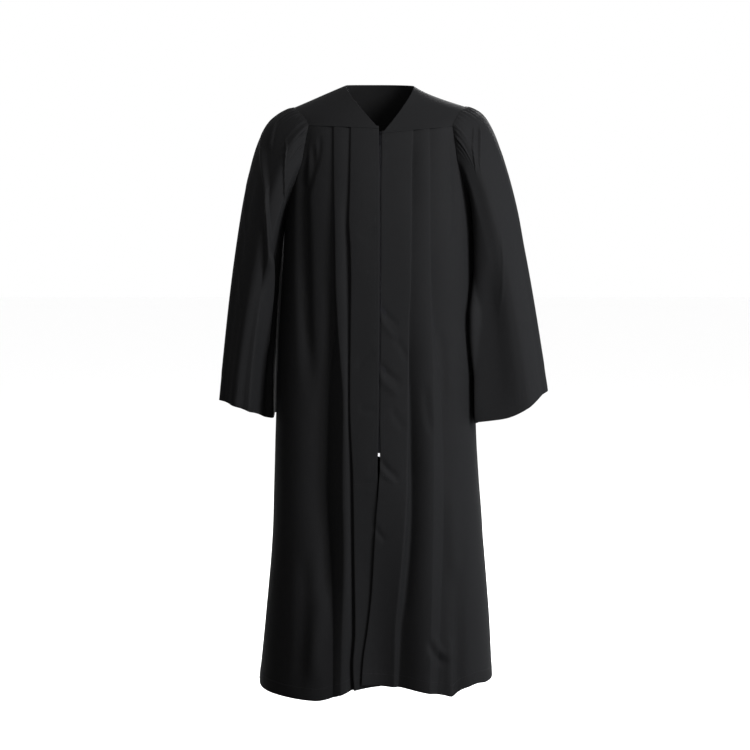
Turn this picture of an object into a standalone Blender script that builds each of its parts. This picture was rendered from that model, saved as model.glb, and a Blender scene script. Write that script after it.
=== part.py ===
# Graduation gown, worn and hanging from the shoulders with no wearer in it.
# Metres, +Z up, +X to the wearer's left, the front faces -Y.
# The origin is on the body's axis, level with the points where the shoulder seams meet the neck.
# Heights are given as a drop below the origin, and places along a panel as a distance from the centre line.

import math

import bpy
import numpy as np

MM = 0.001
RIGHT, LEFT = -1, 1  # the wearer's sides
FRONT, BACK = -1, 1

CLOTH = 1.2 * MM  # wall of every cloth panel
SEAM_GAP = 0.4 * MM  # each sewn edge stops this far short of the seam line
SIDE_GAP = 0.7 * MM  # the same at the side seams
SLEEVE_GAP = 0.5 * MM  # and at the sleeve heads
BEHIND = 0.75 * MM  # how far the zip lies behind the fronts

# Plan of the hanging cloth at each drop: half widths on each side, and how far front and back stand from
# the axis.
# drop, right half width, left half width, front, back, squareness
BODY = (
    (0.04, 0.196, 0.194, 0.092, 0.084, 2.5),
    (0.10, 0.200, 0.197, 0.114, 0.104, 2.5),
    (0.20, 0.206, 0.199, 0.135, 0.124, 2.5),
    (0.33, 0.212, 0.203, 0.150, 0.128, 2.5),
    (0.60, 0.227, 0.207, 0.152, 0.130, 2.5),
    (0.77, 0.233, 0.211, 0.157, 0.139, 2.4),
    (0.97, 0.240, 0.225, 0.163, 0.151, 2.4),
    (1.16, 0.256, 0.240, 0.168, 0.163, 2.3),
    (1.34, 0.273, 0.249, 0.172, 0.176, 2.3),
)

# Slow swells of the hanging cloth: centre, half width, forward at the hem, and the drop where each starts.
FRONT_SWELLS = (
    (-0.150, 0.085, 0.010, 0.75),
    (0.000, 0.110, -0.034, 0.80),
    (0.155, 0.090, 0.004, 0.80),
)
BACK_SWELLS = (
    (-0.165, 0.080, 0.012, 0.60),
    (0.000, 0.075, 0.010, 0.60),
    (0.150, 0.080, 0.012, 0.60),
)

# Knife pleats, released from the yoke and opening downwards. Lengths are in millimetres:
# the fold edge's distance from the centre line, how far the cloth runs back under it, the drop from the edge
# to the bottom of the valley, and the radii of the roll at the edge and in the valley.
# drop, edge, under, depth, edge roll, valley roll
FRONT_PLEATS = {
    RIGHT: (
        (
            (0.09, 65.0, 14.0, 4.7, 1.8, 0.5),
            (0.23, 67.0, 12.0, 5.2, 1.8, 0.7),
            (0.30, 69.0, 8.0, 8.0, 2.0, 1.4),
            (0.36, 66.0, 5.0, 10.0, 2.3, 2.2),
            (0.43, 65.0, 5.0, 9.5, 2.3, 2.0),
            (0.51, 66.0, 8.0, 6.5, 2.0, 1.0),
            (0.68, 67.5, 10.0, 5.5, 1.9, 0.8),
            (0.85, 61.0, 8.0, 8.0, 2.2, 1.4),
            (1.02, 58.5, 7.0, 9.0, 2.5, 1.8),
            (1.18, 56.5, 6.0, 10.0, 2.8, 2.0),
            (1.25, 61.0, 6.0, 10.0, 2.8, 2.0),
            (1.34, 56.5, 5.0, 10.0, 3.0, 2.0),
        ),
        (
            (0.09, 102.0, 14.0, 4.7, 1.8, 0.5),
            (0.23, 101.0, 11.0, 6.0, 1.9, 0.9),
            (0.30, 100.0, 7.0, 9.5, 2.4, 2.0),
            (0.43, 99.0, 2.0, 15.0, 4.0, 3.4),
            (0.51, 96.0, -4.0, 19.0, 5.0, 4.6),
            (0.59, 91.0, -18.0, 24.0, 6.0, 6.0),
            (0.68, 86.0, -30.0, 28.0, 7.0, 8.0),
            (0.85, 88.0, -32.0, 30.0, 8.0, 9.0),
            (1.02, 85.0, -22.0, 26.0, 8.0, 8.0),
            (1.18, 89.0, -10.0, 14.0, 7.0, 6.0),
            (1.34, 92.0, -8.0, 10.0, 6.0, 5.0),
        ),
    ),
    LEFT: (
        (
            (0.09, 68.5, 14.0, 4.7, 1.8, 0.5),
            (0.18, 65.5, 10.0, 7.0, 1.9, 1.2),
            (0.23, 65.0, 10.0, 7.0, 1.9, 1.2),
            (0.30, 64.5, 12.0, 5.4, 1.8, 0.8),
            (0.43, 63.0, 12.0, 5.2, 1.8, 0.8),
            (0.51, 60.0, 9.0, 7.0, 2.2, 1.2),
            (0.59, 59.5, 4.0, 13.0, 3.2, 3.0),
            (0.68, 60.0, 1.0, 18.0, 4.4, 4.6),
            (0.85, 58.0, -2.0, 24.0, 5.4, 7.0),
            (0.97, 52.0, -3.0, 25.0, 5.4, 8.0),
            (1.10, 41.0, -3.0, 21.0, 5.0, 7.0),
            (1.18, 34.0, -3.0, 15.0, 4.4, 5.0),
            (1.34, 31.0, -2.0, 9.0, 3.4, 3.4),
        ),
        (
            (0.09, 103.0, 14.0, 4.7, 1.8, 0.5),
            (0.23, 104.5, 12.0, 6.0, 1.9, 0.9),
            (0.36, 105.5, 6.0, 9.0, 2.4, 2.0),
            (0.43, 107.0, 2.0, 11.0, 3.0, 2.4),
            (0.51, 110.0, -3.0, 10.0, 4.0, 3.4),
            (0.68, 116.0, -12.0, 7.0, 5.0, 5.0),
            (0.85, 118.0, -16.0, 7.0, 6.0, 6.0),
            (1.10, 114.0, -14.0, 9.0, 6.0, 6.0),
            (1.34, 108.0, -10.0, 12.0, 6.0, 6.0),
        ),
    ),
}
BACK_PLEATS = {
    RIGHT: (
        (
            (0.11, 38.0, 14.0, 4.7, 1.8, 0.5),
            (0.26, 39.0, 10.0, 7.0, 2.0, 1.2),
            (0.42, 41.0, 3.0, 13.0, 3.4, 3.0),
            (0.62, 43.0, 0.0, 19.0, 5.0, 5.0),
            (0.90, 46.0, -4.0, 22.0, 7.0, 7.0),
            (1.34, 52.0, -7.0, 24.0, 8.0, 8.0),
        ),
        (
            (0.11, 82.0, 14.0, 4.7, 1.8, 0.5),
            (0.26, 84.0, 11.0, 6.0, 1.9, 1.0),
            (0.42, 90.0, 6.0, 10.0, 2.8, 2.2),
            (0.62, 97.0, 1.0, 17.0, 4.6, 4.6),
            (0.90, 104.0, -4.0, 24.0, 7.0, 7.0),
            (1.34, 122.0, -8.0, 27.0, 8.0, 8.0),
        ),
    ),
    LEFT: (
        (
            (0.11, 38.0, 14.0, 4.7, 1.8, 0.5),
            (0.26, 37.0, 11.0, 6.0, 1.9, 1.0),
            (0.42, 36.0, 5.0, 11.0, 3.0, 2.6),
            (0.62, 37.0, 1.0, 17.0, 4.6, 4.6),
            (0.90, 41.0, -3.0, 23.0, 7.0, 7.0),
            (1.34, 44.0, -6.0, 25.0, 8.0, 8.0),
        ),
        (
            (0.11, 82.0, 14.0, 4.7, 1.8, 0.5),
            (0.26, 81.0, 10.0, 7.0, 2.0, 1.2),
            (0.42, 82.0, 3.0, 14.0, 3.6, 3.4),
            (0.62, 88.0, -1.0, 20.0, 5.4, 5.4),
            (0.90, 98.0, -5.0, 23.0, 7.0, 7.0),
            (1.34, 110.0, -8.0, 25.0, 8.0, 8.0),
        ),
    ),
}
# Soft troughs beside the pleats, outside the last one: drop, distance from the centre line, half width, depth.
FRONT_TROUGH = {
    RIGHT: ((0.09, 160.0, 18.0, 0.0), (0.17, 168.0, 20.0, 5.0), (0.30, 168.0, 24.0, 11.0),
            (0.50, 164.0, 24.0, 10.0), (0.70, 158.0, 24.0, 0.0), (1.34, 150.0, 22.0, 0.0)),
    LEFT: ((0.09, 158.0, 16.0, 0.0), (0.15, 158.0, 16.0, 3.0), (0.30, 160.0, 18.0, 3.0),
           (0.45, 160.0, 20.0, 0.0), (0.90, 165.0, 26.0, 0.0), (1.20, 168.0, 26.0, 6.0),
           (1.34, 172.0, 26.0, 9.0)),
}
BACK_TROUGH = {
    RIGHT: ((0.11, 150.0, 16.0, 0.0), (0.40, 165.0, 22.0, 6.0), (0.80, 182.0, 26.0, 12.0),
            (1.34, 200.0, 28.0, 18.0)),
    LEFT: ((0.11, 150.0, 16.0, 0.0), (0.40, 160.0, 20.0, 8.0), (0.80, 172.0, 26.0, 14.0),
           (1.34, 190.0, 28.0, 16.0)),
}

# Front edges. Above the foot of the zip they meet at the opening line; below it the left front lies over
# the right. All but the drop in millimetres.
# drop, opening line's place, half the gap, how far the left edge stands forward, right front's hidden edge
OPENING = (
    (0.09, -2.0, 3.3, 0.0, 0.0),
    (0.15, -2.0, 3.2, 0.0, 0.0),
    (0.20, -2.0, 1.8, 0.0, 0.0),
    (0.50, -2.6, 1.7, 0.0, 0.0),
    (0.72, -4.2, 1.7, 0.0, 0.0),
    (0.78, -4.6, 3.0, 0.0, 0.0),
    (0.82, -5.4, 3.0, 0.0, 0.0),
    (0.86, -6.6, 1.6, 2.6, 0.0),
    (0.93, -12.0, 1.6, 4.4, 5.5),
    (1.02, -17.5, 1.6, 5.6, 14.5),
    (1.10, -22.5, 1.6, 6.0, 21.5),
    (1.18, -32.0, 1.6, 6.0, 32.0),
    (1.25, -43.0, 1.6, 6.0, 43.0),
    (1.34, -50.0, 1.6, 6.0, 50.0),
)

# Yoke seams and hems: distance from the centre line, drop.
FRONT_SEAM = {
    RIGHT: ((0.000, 0.1015), (0.080, 0.0975), (0.170, 0.0935)),
    LEFT: ((0.000, 0.1120), (0.080, 0.1030), (0.170, 0.0940)),
}
BACK_SEAM = ((0.000, 0.1300), (0.080, 0.1290), (0.170, 0.1220))
FRONT_HEM = {
    RIGHT: ((-0.05, 1.298), (0.00, 1.300), (0.06, 1.306), (0.15, 1.328), (0.26, 1.325), (0.40, 1.318)),
    LEFT: ((-0.05, 1.294), (0.00, 1.298), (0.06, 1.303), (0.145, 1.318), (0.165, 1.323), (0.197, 1.308),
           (0.235, 1.3025), (0.265, 1.306), (0.40, 1.301)),
}
BACK_HEM = {
    RIGHT: ((0.00, 1.312), (0.12, 1.318), (0.26, 1.318), (0.42, 1.318)),
    LEFT: ((0.00, 1.312), (0.12, 1.310), (0.26, 1.302), (0.42, 1.301)),
}

# Armhole: how far it stays inside the side seam beside the yoke, where its curve begins, the two powers
# that bend the curve, and the drop of the underarm.
ARMHOLE_INSET = {FRONT: 0.099, BACK: 0.098}
ARMHOLE_CURVE_STARTS = 0.165
ARMHOLE_BEND = (1.3, 0.8)
UNDERARM = 0.330
CLIMB_BEND = 0.6  # below one, the cloth climbs steeply out of a pleat's valley and then eases out

# The shoulder seam, from the neck to the top of the sleeve, with the two points that bend it.
# out from the centre line, back, up
SHOULDER_SEAM = {
    RIGHT: ((0.0765, 0.002, -0.0025), (0.1085, 0.003, -0.0150), (0.1600, 0.004, -0.0385),
            (0.1900, 0.004, -0.0505)),
    LEFT: ((0.0715, 0.002, -0.0040), (0.0965, 0.003, -0.0215), (0.1410, 0.004, -0.0352),
           (0.1840, 0.004, -0.0485)),
}
BACK_NECK = (0.0, 0.070, 0.003)
# How the two neck edges bend: from the neck point, and from the foot of the V or from the centre back.
FRONT_NECK_BENDS = ((0.002, -0.047, -0.014), (0.032, 0.014, 0.036))
BACK_NECK_BENDS = ((0.0, 0.042, 0.004), (0.040, 0.0, 0.0))
# How a yoke's outer edge bends at the shoulder and at the yoke seam: out, away from the shoulder, up.
YOKE_BENDS = ((0.001, 0.036, -0.004), (0.008, -0.0216, 0.026))
YOKE_REACH = 0.16  # distance from the centre line at which a yoke seam's drop is read for its outer end
NECK_FOOT_DROP = 0.0975  # drop at which the opening is read for the foot of the V

# Sleeves. The start columns say which way the cloth leaves the armhole and how far that pull reaches; the cuff
# columns give the lower edge, seen from above. Around: 0 is the shoulder, 0.25 the front, 0.5 the underarm.
# around, out, forward, down, reach
SLEEVE_START = (
    (0.000, 0.94, 0.00, 0.34, 0.078),
    (0.080, 0.87, 0.30, 0.40, 0.082),
    (0.170, 0.74, 0.45, 0.50, 0.080),
    (0.250, 0.72, 0.36, 0.58, 0.055),
    (0.370, 0.66, 0.12, 0.74, 0.040),
    (0.450, 0.36, 0.03, 0.93, 0.034),
    (0.500, 0.20, 0.00, 0.98, 0.032),
    (0.550, 0.36, -0.03, 0.93, 0.034),
    (0.630, 0.66, -0.12, 0.74, 0.040),
    (0.750, 0.72, -0.32, 0.60, 0.055),
    (0.830, 0.74, -0.40, 0.52, 0.080),
    (0.920, 0.87, -0.28, 0.40, 0.082),
)
SLEEVE_FULLNESS = {RIGHT: 1.0, LEFT: 0.80}  # how much of that reach each sleeve has
# around, out from the axis, forward, drop, reach of the pull upwards, lean of that pull inwards
CUFF = {
    RIGHT: (
        (0.000, 0.3560, -0.010, 0.6880, 0.600, 0.106),
        (0.090, 0.3430, 0.060, 0.6870, 0.500, 0.100),
        (0.180, 0.3100, 0.104, 0.6960, 0.350, 0.085),
        (0.245, 0.2860, 0.108, 0.7055, 0.270, 0.060),
        (0.290, 0.2735, 0.075, 0.7120, 0.240, 0.040),
        (0.335, 0.2670, 0.030, 0.7210, 0.210, 0.022),
        (0.380, 0.2550, 0.006, 0.7280, 0.190, 0.012),
        (0.430, 0.2400, -0.002, 0.7310, 0.170, 0.010),
        (0.500, 0.2370, -0.022, 0.7305, 0.160, 0.010),
        (0.570, 0.2385, -0.060, 0.7280, 0.170, 0.010),
        (0.650, 0.2480, -0.110, 0.7220, 0.200, 0.020),
        (0.740, 0.2720, -0.160, 0.7140, 0.260, 0.060),
        (0.820, 0.3060, -0.165, 0.7060, 0.330, 0.090),
        (0.910, 0.3430, -0.105, 0.6930, 0.500, 0.100),
    ),
    LEFT: (
        (0.000, 0.3680, -0.008, 0.6625, 0.600, 0.170),
        (0.090, 0.3540, 0.062, 0.6700, 0.500, 0.145),
        (0.180, 0.3160, 0.098, 0.7005, 0.330, 0.120),
        (0.260, 0.2700, 0.100, 0.7215, 0.260, 0.070),
        (0.350, 0.2010, 0.088, 0.7325, 0.200, 0.020),
        (0.430, 0.2130, 0.036, 0.7365, 0.170, 0.010),
        (0.500, 0.2165, -0.010, 0.7370, 0.160, 0.010),
        (0.570, 0.2190, -0.055, 0.7360, 0.170, 0.010),
        (0.650, 0.2360, -0.108, 0.7320, 0.200, 0.020),
        (0.740, 0.2720, -0.152, 0.7210, 0.260, 0.070),
        (0.820, 0.3120, -0.155, 0.7060, 0.330, 0.120),
        (0.910, 0.3530, -0.100, 0.6790, 0.500, 0.145),
    ),
}
# Soft folds that run down each sleeve. Each is a table of its own: share of the sleeve's length, place around,
# half width around, depth in mm.
SLEEVE_FOLDS = {
    RIGHT: (
        (
            (0.20, 0.000, 0.040, 0.0), (0.36, 0.045, 0.060, 5.0), (0.42, 0.100, 0.075, 9.0),
            (0.49, 0.190, 0.085, 14.0), (0.60, 0.280, 0.075, 18.0), (0.72, 0.320, 0.060, 14.0),
            (0.88, 0.330, 0.050, 6.0), (1.00, 0.330, 0.050, 3.0),
        ),
        (
            (0.55, 0.215, 0.045, 0.0), (0.75, 0.185, 0.045, 3.5), (1.00, 0.170, 0.045, 6.0),
        ),
        (
            (0.30, 0.000, 0.045, 0.0), (0.55, 0.040, 0.045, 2.5), (0.80, 0.064, 0.045, 5.0),
            (1.00, 0.070, 0.045, 5.0),
        ),
        (
            (0.10, 0.877, 0.055, 0.0), (0.35, 0.870, 0.055, 5.0), (0.60, 0.864, 0.055, 10.0),
            (1.00, 0.860, 0.055, 10.0),
        ),
        (
            (0.08, 0.756, 0.055, 0.0), (0.29, 0.745, 0.055, 8.0), (0.50, 0.739, 0.055, 16.0),
            (1.00, 0.730, 0.055, 16.0),
        ),
        (
            (0.15, 0.653, 0.045, 0.0), (0.37, 0.643, 0.045, 6.0), (0.60, 0.636, 0.045, 12.0),
            (1.00, 0.630, 0.045, 12.0),
        ),
    ),
    LEFT: (
        (
            (0.00, 0.240, 0.040, 0.0), (0.20, 0.265, 0.045, 4.0), (0.40, 0.300, 0.045, 5.0),
            (0.60, 0.320, 0.045, 0.0),
        ),
        (
            (0.48, 0.350, 0.030, 0.0), (0.58, 0.325, 0.036, 8.0), (0.66, 0.308, 0.046, 20.0),
            (0.74, 0.325, 0.042, 12.0), (0.84, 0.350, 0.034, 0.0),
        ),
        (
            (0.10, 0.148, 0.050, 0.0), (0.30, 0.163, 0.050, 3.0), (0.50, 0.175, 0.050, 6.0),
            (1.00, 0.190, 0.050, 6.0),
        ),
        (
            (0.20, 0.056, 0.040, 0.0), (0.40, 0.062, 0.040, 2.5), (0.60, 0.066, 0.040, 5.0),
            (1.00, 0.070, 0.040, 5.0),
        ),
        (
            (0.10, 0.867, 0.055, 0.0), (0.35, 0.860, 0.055, 4.5), (0.60, 0.854, 0.055, 9.0),
            (1.00, 0.850, 0.055, 9.0),
        ),
        (
            (0.08, 0.766, 0.055, 0.0), (0.29, 0.755, 0.055, 7.5), (0.50, 0.749, 0.055, 15.0),
            (1.00, 0.740, 0.055, 15.0),
        ),
        (
            (0.15, 0.663, 0.045, 0.0), (0.37, 0.653, 0.045, 5.0), (0.60, 0.646, 0.045, 10.0),
            (1.00, 0.640, 0.045, 10.0),
        ),
    ),
}
SLEEVE_OVER = 1.0 * MM  # how far a sleeve's sewn edge stands out from the panels; twice that at the underarm
OVER_GROWS = (0.25, 0.33)  # drops between which it doubles
GATHERED_COURSES = (0.0, 0.05, 0.12)  # shares of the sleeve's length where a course of points runs round it
PLAIN_COURSES = (0.20, 0.28, 0.37, 0.46, 0.55, 0.64, 0.73, 0.82, 0.91, 1.0)
PLAIN_COLUMNS = 44
UNDERARM_COLUMNS = 21
GATHERS = 24  # small folds of the sleeve head, from one yoke corner over the shoulder to the other
GATHERED = 0.225  # share of the armhole, on each side of the shoulder, that is gathered
GATHER_DEPTH = 4.2 * MM

ZIP_TOP = 0.1145
ZIP_FOOT = 0.797
TAPE_WIDTH = 12 * MM
TAPE = 1.0 * MM
CHAIN_HALF_WIDTH = 2.9 * MM
CHAIN = 1.3 * MM
TAB_LENGTH, TAB_WIDTH, TAB = 26 * MM, 4.2 * MM, 1.1 * MM
TAB_HINGE_DROP = 0.1110
TAB_BEHIND = 1.0 * MM  # how far the pull tab's pivot lies behind the cloth's face
SLOT_HALF, SLOT_FOOT = 1.15 * MM, -4.6 * MM  # the tab's slot, across and down
SLIDER_LENGTH, SLIDER_WIDTH, SLIDER_BODY = 6.6 * MM, 5.4 * MM, 2.0 * MM
TUNNEL = 1.15 * MM  # half the height and depth of the hole under the slider's arch
ARCH, ARCH_WIDTH = 0.9 * MM, 1.6 * MM

BLACK_CLOTH = (0.014, 0.014, 0.015)
BLACK_TAPE = (0.010, 0.010, 0.011)
BRIGHT_METAL = (0.72, 0.72, 0.74)
DARK_METAL = (0.06, 0.06, 0.065)

LEVELS = np.arange(0.03, 1.36, 0.005)
SHARES = np.linspace(0.0, 1.0, 161)


def smooth(places, values, at):
    """The value at each place of a curve through the rows that never swings past them."""
    places = np.asarray(places, float)
    values = np.asarray(values, float)
    steps = np.diff(places)
    slopes = np.diff(values) / steps
    turns = np.zeros(len(values))
    same_way = slopes[:-1] * slopes[1:] > 0
    product = np.where(same_way, slopes[:-1] * slopes[1:], 0.0)
    total = np.where(same_way, slopes[:-1] + slopes[1:], 1.0)
    turns[1:-1] = 2.0 * product / total
    turns[0], turns[-1] = slopes[0], slopes[-1]
    at = np.clip(np.asarray(at, float), places[0], places[-1])
    i = np.clip(np.searchsorted(places, at, side="right") - 1, 0, len(steps) - 1)
    t = (at - places[i]) / steps[i]
    rise = values[i + 1] - values[i]
    bend_in = steps[i] * turns[i]
    bend_out = steps[i] * turns[i + 1]
    square = t * t * (3 * rise - 2 * bend_in - bend_out)
    cube = t**3 * (bend_in + bend_out - 2 * rise)
    return values[i] + t * bend_in + square + cube


def column(table, which, at):
    rows = np.array(table, float)
    return smooth(rows[:, 0], rows[:, which], at)


def around(table, which, at):
    """A column of a table that closes on itself, at each share of the way around."""
    rows = np.array(table, float)
    places = np.concatenate([rows[-3:, 0] - 1, rows[:, 0], rows[:3, 0] + 1])
    values = np.concatenate([rows[-3:, which], rows[:, which], rows[:3, which]])
    return smooth(places, values, np.mod(at, 1.0))


def ease(t):
    t = np.clip(t, 0.0, 1.0)
    return t * t * (3 - 2 * t)


def bump(distance, half_width):
    """1 at no distance, falling smoothly to 0 at the half width."""
    t = np.clip(np.abs(distance) / half_width, 0.0, 1.0)
    return 0.5 + 0.5 * np.cos(math.pi * t)


class Outline:
    """A quarter of the gown seen from above at every drop, from the centre line to a side seam."""

    def __init__(self, side, facing):
        self.side, self.facing = side, facing
        angles = np.linspace(0.0, math.pi / 2, 361)
        swells = FRONT_SWELLS if facing == FRONT else BACK_SWELLS
        self.length = np.empty(len(LEVELS))
        self.x = np.empty((len(LEVELS), len(SHARES)))
        self.y = np.empty((len(LEVELS), len(SHARES)))
        for i, drop in enumerate(LEVELS):
            half = column(BODY, 1 if side == RIGHT else 2, drop)
            deep = column(BODY, 3 if facing == FRONT else 4, drop)
            power = 2.0 / column(BODY, 5, drop)
            x = half * np.sin(angles) ** power
            y = deep * np.maximum(np.cos(angles), 0.0) ** power
            for centre, width, forward, starts in swells:
                grown = ease((drop - starts) / (1.31 - starts))
                y = y + forward * grown * bump(side * x - centre, width) * np.minimum(1.0, y / 0.04)
            steps = np.hypot(np.diff(x), np.diff(y))
            run = np.concatenate([[0.0], np.cumsum(steps)])
            self.length[i] = run[-1]
            self.x[i] = np.interp(SHARES * run[-1], run, x)
            self.y[i] = np.interp(SHARES * run[-1], run, y)

    def seam(self, drop):
        """Distance along the cloth from the centre line to the side seam."""
        return np.interp(drop, LEVELS, self.length)

    def _at(self, grid, level, share):
        i = np.clip(level.astype(int), 0, len(LEVELS) - 2)
        j = np.clip(share.astype(int), 0, len(SHARES) - 2)
        a, b = level - i, share - j
        low = grid[i, j] * (1 - b) + grid[i, j + 1] * b
        high = grid[i + 1, j] * (1 - b) + grid[i + 1, j + 1] * b
        return low * (1 - a) + high * a

    def place(self, along, out, drop):
        """Points at these distances from the centre line, standing this far out from the outline."""
        along, out, drop = np.broadcast_arrays(np.asarray(along, float), out, drop)
        crossed = np.where(along < 0, -1.0, 1.0)
        level = (np.clip(drop, LEVELS[0], LEVELS[-1]) - LEVELS[0]) / (LEVELS[1] - LEVELS[0])
        share = np.clip(np.abs(along) / self.seam(drop), 0.0, 1.0) * (len(SHARES) - 1)
        near, far = np.clip(share - 0.7, 0, None), np.clip(share + 0.7, None, len(SHARES) - 1)
        dx = self._at(self.x, level, far) - self._at(self.x, level, near)
        dy = self._at(self.y, level, far) - self._at(self.y, level, near)
        size = np.hypot(dx, dy)
        x = self._at(self.x, level, share) - out * dy / size
        y = self._at(self.y, level, share) + out * dx / size
        return np.stack([self.side * crossed * x, self.facing * y, -np.asarray(drop, float)], axis=-1)

    def along_at(self, x, drop):
        """Distance from the centre line where the outline reaches this x."""
        i = int(np.clip(round((drop - LEVELS[0]) / (LEVELS[1] - LEVELS[0])), 0, len(LEVELS) - 1))
        return float(np.interp(x, self.x[i], SHARES * self.length[i]))


OUTLINES = {(side, facing): Outline(side, facing) for side in (RIGHT, LEFT) for facing in (FRONT, BACK)}


def armhole_edge(outline, drop):
    """Distance from the centre line to the armhole, or to the side seam below the underarm."""
    inset = ARMHOLE_INSET[outline.facing]
    t = np.clip((np.asarray(drop, float) - ARMHOLE_CURVE_STARTS) / (UNDERARM - ARMHOLE_CURVE_STARTS), 0.0, 1.0)
    return outline.seam(drop) - inset * (1.0 - t ** ARMHOLE_BEND[0]) ** ARMHOLE_BEND[1]


def rolled_pleat(edge, level, under, depth, edge_roll, valley_roll, steps=4):
    """The cloth's path in plan over a pleat's edge, back under it and round its valley."""
    edge_centre = np.array([edge - edge_roll, level - edge_roll])
    valley_centre = np.array([edge - under + valley_roll, level - depth + valley_roll])
    line = valley_centre - edge_centre
    reach = math.hypot(*line)
    turn = math.asin(min(1.0, (edge_roll + valley_roll) / reach))
    heading = math.atan2(line[1], line[0]) - turn
    over = np.linspace(math.pi / 2, heading + math.pi / 2, steps + 1)
    round_again = np.linspace(heading - math.pi / 2, -math.pi / 2, steps + 1)
    first = edge_centre + edge_roll * np.stack([np.cos(over), np.sin(over)], axis=1)
    second = valley_centre + valley_roll * np.stack([np.cos(round_again), np.sin(round_again)], axis=1)
    return np.concatenate([first, second])


def straight(start, end, steps):
    """Points after the start, up to and with the end."""
    t = np.linspace(0.0, 1.0, steps + 1)[1:, None]
    return np.asarray(start) * (1 - t) + np.asarray(end) * t


def climb(start, end, steps):
    """Points from a valley up to the next flat, level at both ends."""
    t = np.linspace(0.0, 1.0, steps + 1)[1:]
    along = start[0] + (end[0] - start[0]) * t
    return np.stack([along, start[1] + (end[1] - start[1]) * ease(t**CLIMB_BEND)], axis=1)


def panel_profile(outline, drop, start, level, pleats, trough, flat_steps, last_steps):
    """One course of a pleated panel, from its inner edge to its armhole or side seam."""
    end = float(armhole_edge(outline, drop)) - (SIDE_GAP if drop > UNDERARM - MM else SEAM_GAP)
    points = [np.array([[start, level]])]
    here = points[0][-1]
    for number, table in enumerate(pleats):
        edge, under, depth, edge_roll, valley_roll = (float(column(table, k, drop)) * MM for k in range(1, 6))
        edge = outline.along_at(edge, drop)
        flat_end = np.array([edge - edge_roll, level])
        if number == 0:
            points.append(straight(here, flat_end, flat_steps)[:-1])
        else:
            points.append(climb(here, flat_end, 3)[:-1])
        pleat = rolled_pleat(edge, level, under, depth, edge_roll, valley_roll)
        points.append(pleat)
        passed = np.array([max(pleat[-1, 0] + MM, edge + 2 * MM), pleat[-1, 1]])
        points.append(passed[None])
        here, level = passed, 0.0
    tail = climb(here, (here[0] + 0.62 * (end - here[0]), 0.0), last_steps - 2)
    tail = np.concatenate([tail, straight(tail[-1], (end, 0.0), 2)])
    centre, width, depth = (float(column(trough, k, drop)) * MM for k in range(1, 4))
    centre = outline.along_at(centre, drop)
    reach = ease((end - tail[:, 0]) / (15 * MM))
    tail[:, 1] -= depth * bump(tail[:, 0] - centre, width) * reach
    points.append(tail)
    return np.concatenate(points)


def inside_of(profile, thickness):
    """The profile moved inwards by a thickness."""
    ahead = np.gradient(profile, axis=0)
    ahead /= np.linalg.norm(ahead, axis=1)[:, None]
    return profile - thickness * np.stack([-ahead[:, 1], ahead[:, 0]], axis=1)


def shell(name, outer, inner, material):
    """A closed wall from two grids of points, the outer one seen with its columns running to the right."""
    rows, columns = outer.shape[:2]
    points = np.concatenate([outer.reshape(-1, 3), inner.reshape(-1, 3)])
    inside = rows * columns
    quads = []
    for i in range(rows - 1):
        for j in range(columns - 1):
            a = i * columns + j
            quads.append((a, a + columns, a + columns + 1, a + 1))
            quads.append((inside + a, inside + a + 1, inside + a + columns + 1, inside + a + columns))
    border = list(range(columns))
    border += [i * columns + columns - 1 for i in range(1, rows)]
    border += [(rows - 1) * columns + j for j in range(columns - 2, -1, -1)]
    border += [i * columns for i in range(rows - 2, 0, -1)]
    for a, b in zip(border, border[1:] + border[:1]):
        quads.append((a, b, inside + b, inside + a))
    return solid(name, points, quads, material)


def solid(name, points, faces, material):
    """A mesh object whose faces all point outwards."""
    mesh = bpy.data.meshes.new(name)
    mesh.from_pydata([tuple(map(float, p)) for p in points], [], faces)
    mesh.update()
    mesh.calc_loop_triangles()
    corners = np.array([[mesh.vertices[k].co for k in t.vertices] for t in mesh.loop_triangles])
    if np.linalg.det(corners).sum() < 0:
        mesh.flip_normals()
    mesh.shade_smooth()
    mesh.set_sharp_from_angle(angle=math.radians(40))
    mesh.materials.append(material)
    made = bpy.data.objects.new(name, mesh)
    bpy.context.scene.collection.objects.link(made)
    return made


def finish(name, colour, roughness, metallic=0.0):
    material = bpy.data.materials.new(name)
    material.use_nodes = True
    shader = material.node_tree.nodes["Principled BSDF"]
    shader.inputs["Base Color"].default_value = (*colour, 1.0)
    shader.inputs["Roughness"].default_value = roughness
    shader.inputs["Metallic"].default_value = metallic
    material.diffuse_color = (*colour, 1.0)
    return material


def heights(tops, hems, courses):
    """A drop for each course and column, from the yoke seam's drop to the hem's."""
    shares = (np.asarray(courses) - courses[0]) / (courses[-1] - courses[0])
    return tops[None, :] + (hems - tops)[None, :] * shares[:, None]


def opening_edge(side, drop):
    """Where a front's edge lies from the centre line, and how far forward it stands."""
    line, half_gap, lift, tucked = (float(column(OPENING, k, drop)) * MM for k in range(1, 5))
    if side == LEFT:
        return line + half_gap, lift
    return -line + half_gap - tucked, 0.0


FRONT_COURSES = (0.0975, 0.13, 0.18, 0.23, 0.275, 0.308, 0.330, 0.39, 0.46, 0.54, 0.62, 0.71, 0.775, 0.805, 0.86,
                 0.92, 1.00, 1.09, 1.18, 1.25, 1.305)
BACK_COURSES = (0.1275, 0.17, 0.225, 0.275, 0.308, 0.330, 0.40, 0.50, 0.62, 0.76, 0.92, 1.08, 1.21, 1.31)


def front_profile(side, drop):
    edge, lift = opening_edge(side, drop)
    outline = OUTLINES[side, FRONT]
    return panel_profile(outline, drop, edge, lift, FRONT_PLEATS[side], FRONT_TROUGH[side], 4, 7)


def back_profile(side, drop):
    outline = OUTLINES[side, BACK]
    return panel_profile(outline, drop, 0.0, 0.0, BACK_PLEATS[side], BACK_TROUGH[side], 3, 7)


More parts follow.
